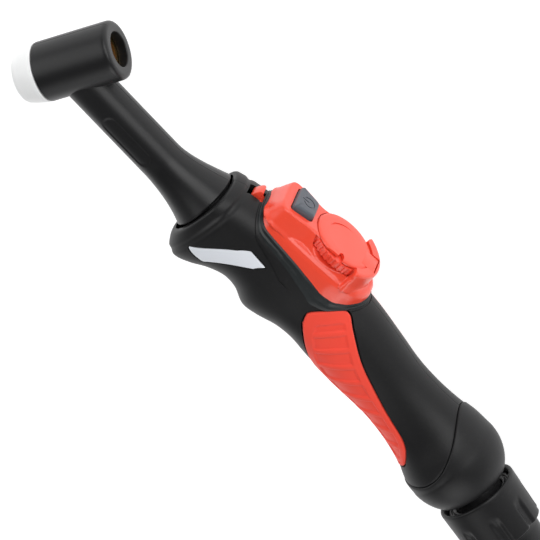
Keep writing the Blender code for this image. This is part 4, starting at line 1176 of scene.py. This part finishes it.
shoulder = math.degrees(math.acos(BALL_NECK / BALL_RADIUS))
neck_end = MOUTH + 21.0
ball = turned_piece("cable_ball", (
    [(BALL_NECK, neck_end), (BALL_NECK, neck_end - 8.0)]
    + arc_steps(BALL_RADIUS, shoulder, -12.0, 26)
    + arc_steps(BALL_RADIUS - 1.8, -13.5, 50.0, 16) + [(7.0, 12.0), (7.0, neck_end)]), 160,
    tail_frame)
swivel_dark = moulded("swivel_dark", (0.014, 0.014, 0.015), 0.34, grain=900.0, depth=0.006,
                      rub=0.3, rub_tone=1.8, dust=0.08, specular=0.5)
finish_piece(ball, swivel_dark, "swivel_dark", "cable_knuckle", "swivel_ball")
seat_outer = 16.55
bearing = BALL_RADIUS + 0.3
low_turn, high_turn = (math.degrees(math.asin(h / bearing)) for h in (0.6, 7.2))
seat_ring = turned_piece("ball_seat", (
    [(math.sqrt(seat_outer ** 2 - 7.2 ** 2), 7.2), (15.6, 4.9), (16.3, 2.6), (seat_outer, 0.6)]
    + arc_steps(bearing, low_turn, high_turn, 10)), 120, tail_frame)
finish_piece(seat_ring, seal_grey, "seal_grey", "knuckle_seat", "ball_seat_ring")


# Cable collar and lock ring
# A black nylon collar clamps the cable to the neck of the ball. It has a wide mouth with a
# rounded lip, eight flutes for the fingers that end in a step, and a tapering tail.
# A dark ring inside the mouth locks it on the neck.
LOBES = 8
FLUTE_DEPTH = 1.0
GRIP_END = MOUTH + 19.5
TAIL_END = MOUTH + 44.0


def lobed(radius, height, angle):
    """Eight soft flutes in the collar's outside, with lobes for the fingers between them."""
    if radius < 14.6:
        return radius
    phase = (angle * LOBES / (2.0 * math.pi) + 0.5) % 1.0 - 0.5
    across = abs(phase) * 360.0 / LOBES
    low = between(across, 13.0, 20.0)
    start = between(height, MOUTH + 6.5, MOUTH + 11.5)
    return radius - FLUTE_DEPTH * low * start


outside = [(15.0, MOUTH + 0.05), (15.3, MOUTH + 0.25), (15.45, MOUTH + 0.6), (15.5, MOUTH + 1.1)]
outside += [(15.5 - 0.35 * i / 32, MOUTH + 1.1 + 17.9 * i / 32) for i in range(1, 33)]
outside += [(15.0, GRIP_END - 0.2), (14.65, GRIP_END), (13.4, GRIP_END + 0.15),
            (12.9, GRIP_END + 0.3), (12.6, GRIP_END + 0.7)]
outside += [(12.6 - 1.4 * i / 12, GRIP_END + 0.7 + (TAIL_END - GRIP_END - 1.3) * i / 12)
            for i in range(1, 13)]
outside += [(11.1, TAIL_END - 0.3), (10.8, TAIL_END), (8.0, TAIL_END), (7.6, TAIL_END - 0.4)]
inside = [(7.6, neck_end + 0.3), (9.8, neck_end + 0.3), (9.8, MOUTH + 9.6), (13.8, MOUTH + 9.6),
          (13.8, MOUTH + 0.9), (14.1, MOUTH + 0.3), (14.5, MOUTH + 0.05)]
collar = turned_piece("collar_shell", outside + inside, 384, tail_frame, lobed)
collar_black = moulded("collar_black", (0.0075, 0.0075, 0.008), 0.42, grain=1600.0, depth=0.02,
                       rub=0.4, rub_tone=2.2, dust=0.05, specular=0.3)
finish_piece(collar, collar_black, "collar_black", "cable_knuckle", "cable_collar", angle=38.0)
lock_ring = turned_piece("lock_ring", rounded([
    (13.5, MOUTH + 8.6, 0.2), (13.5, MOUTH + 2.6, 0.5), (12.2, MOUTH + 2.1, 0.5),
    (11.9, MOUTH + 3.0, 0.2), (11.4, MOUTH + 3.0, 0.2), (10.9, MOUTH + 1.8, 0.4),
    (9.8, MOUTH + 2.4, 0.3), (9.8, MOUTH + 8.6, 0.2)], 0.2, 4), 160, tail_frame)
finish_piece(lock_ring, swivel_dark, "swivel_dark", "cable_knuckle", "collar_lock_ring")
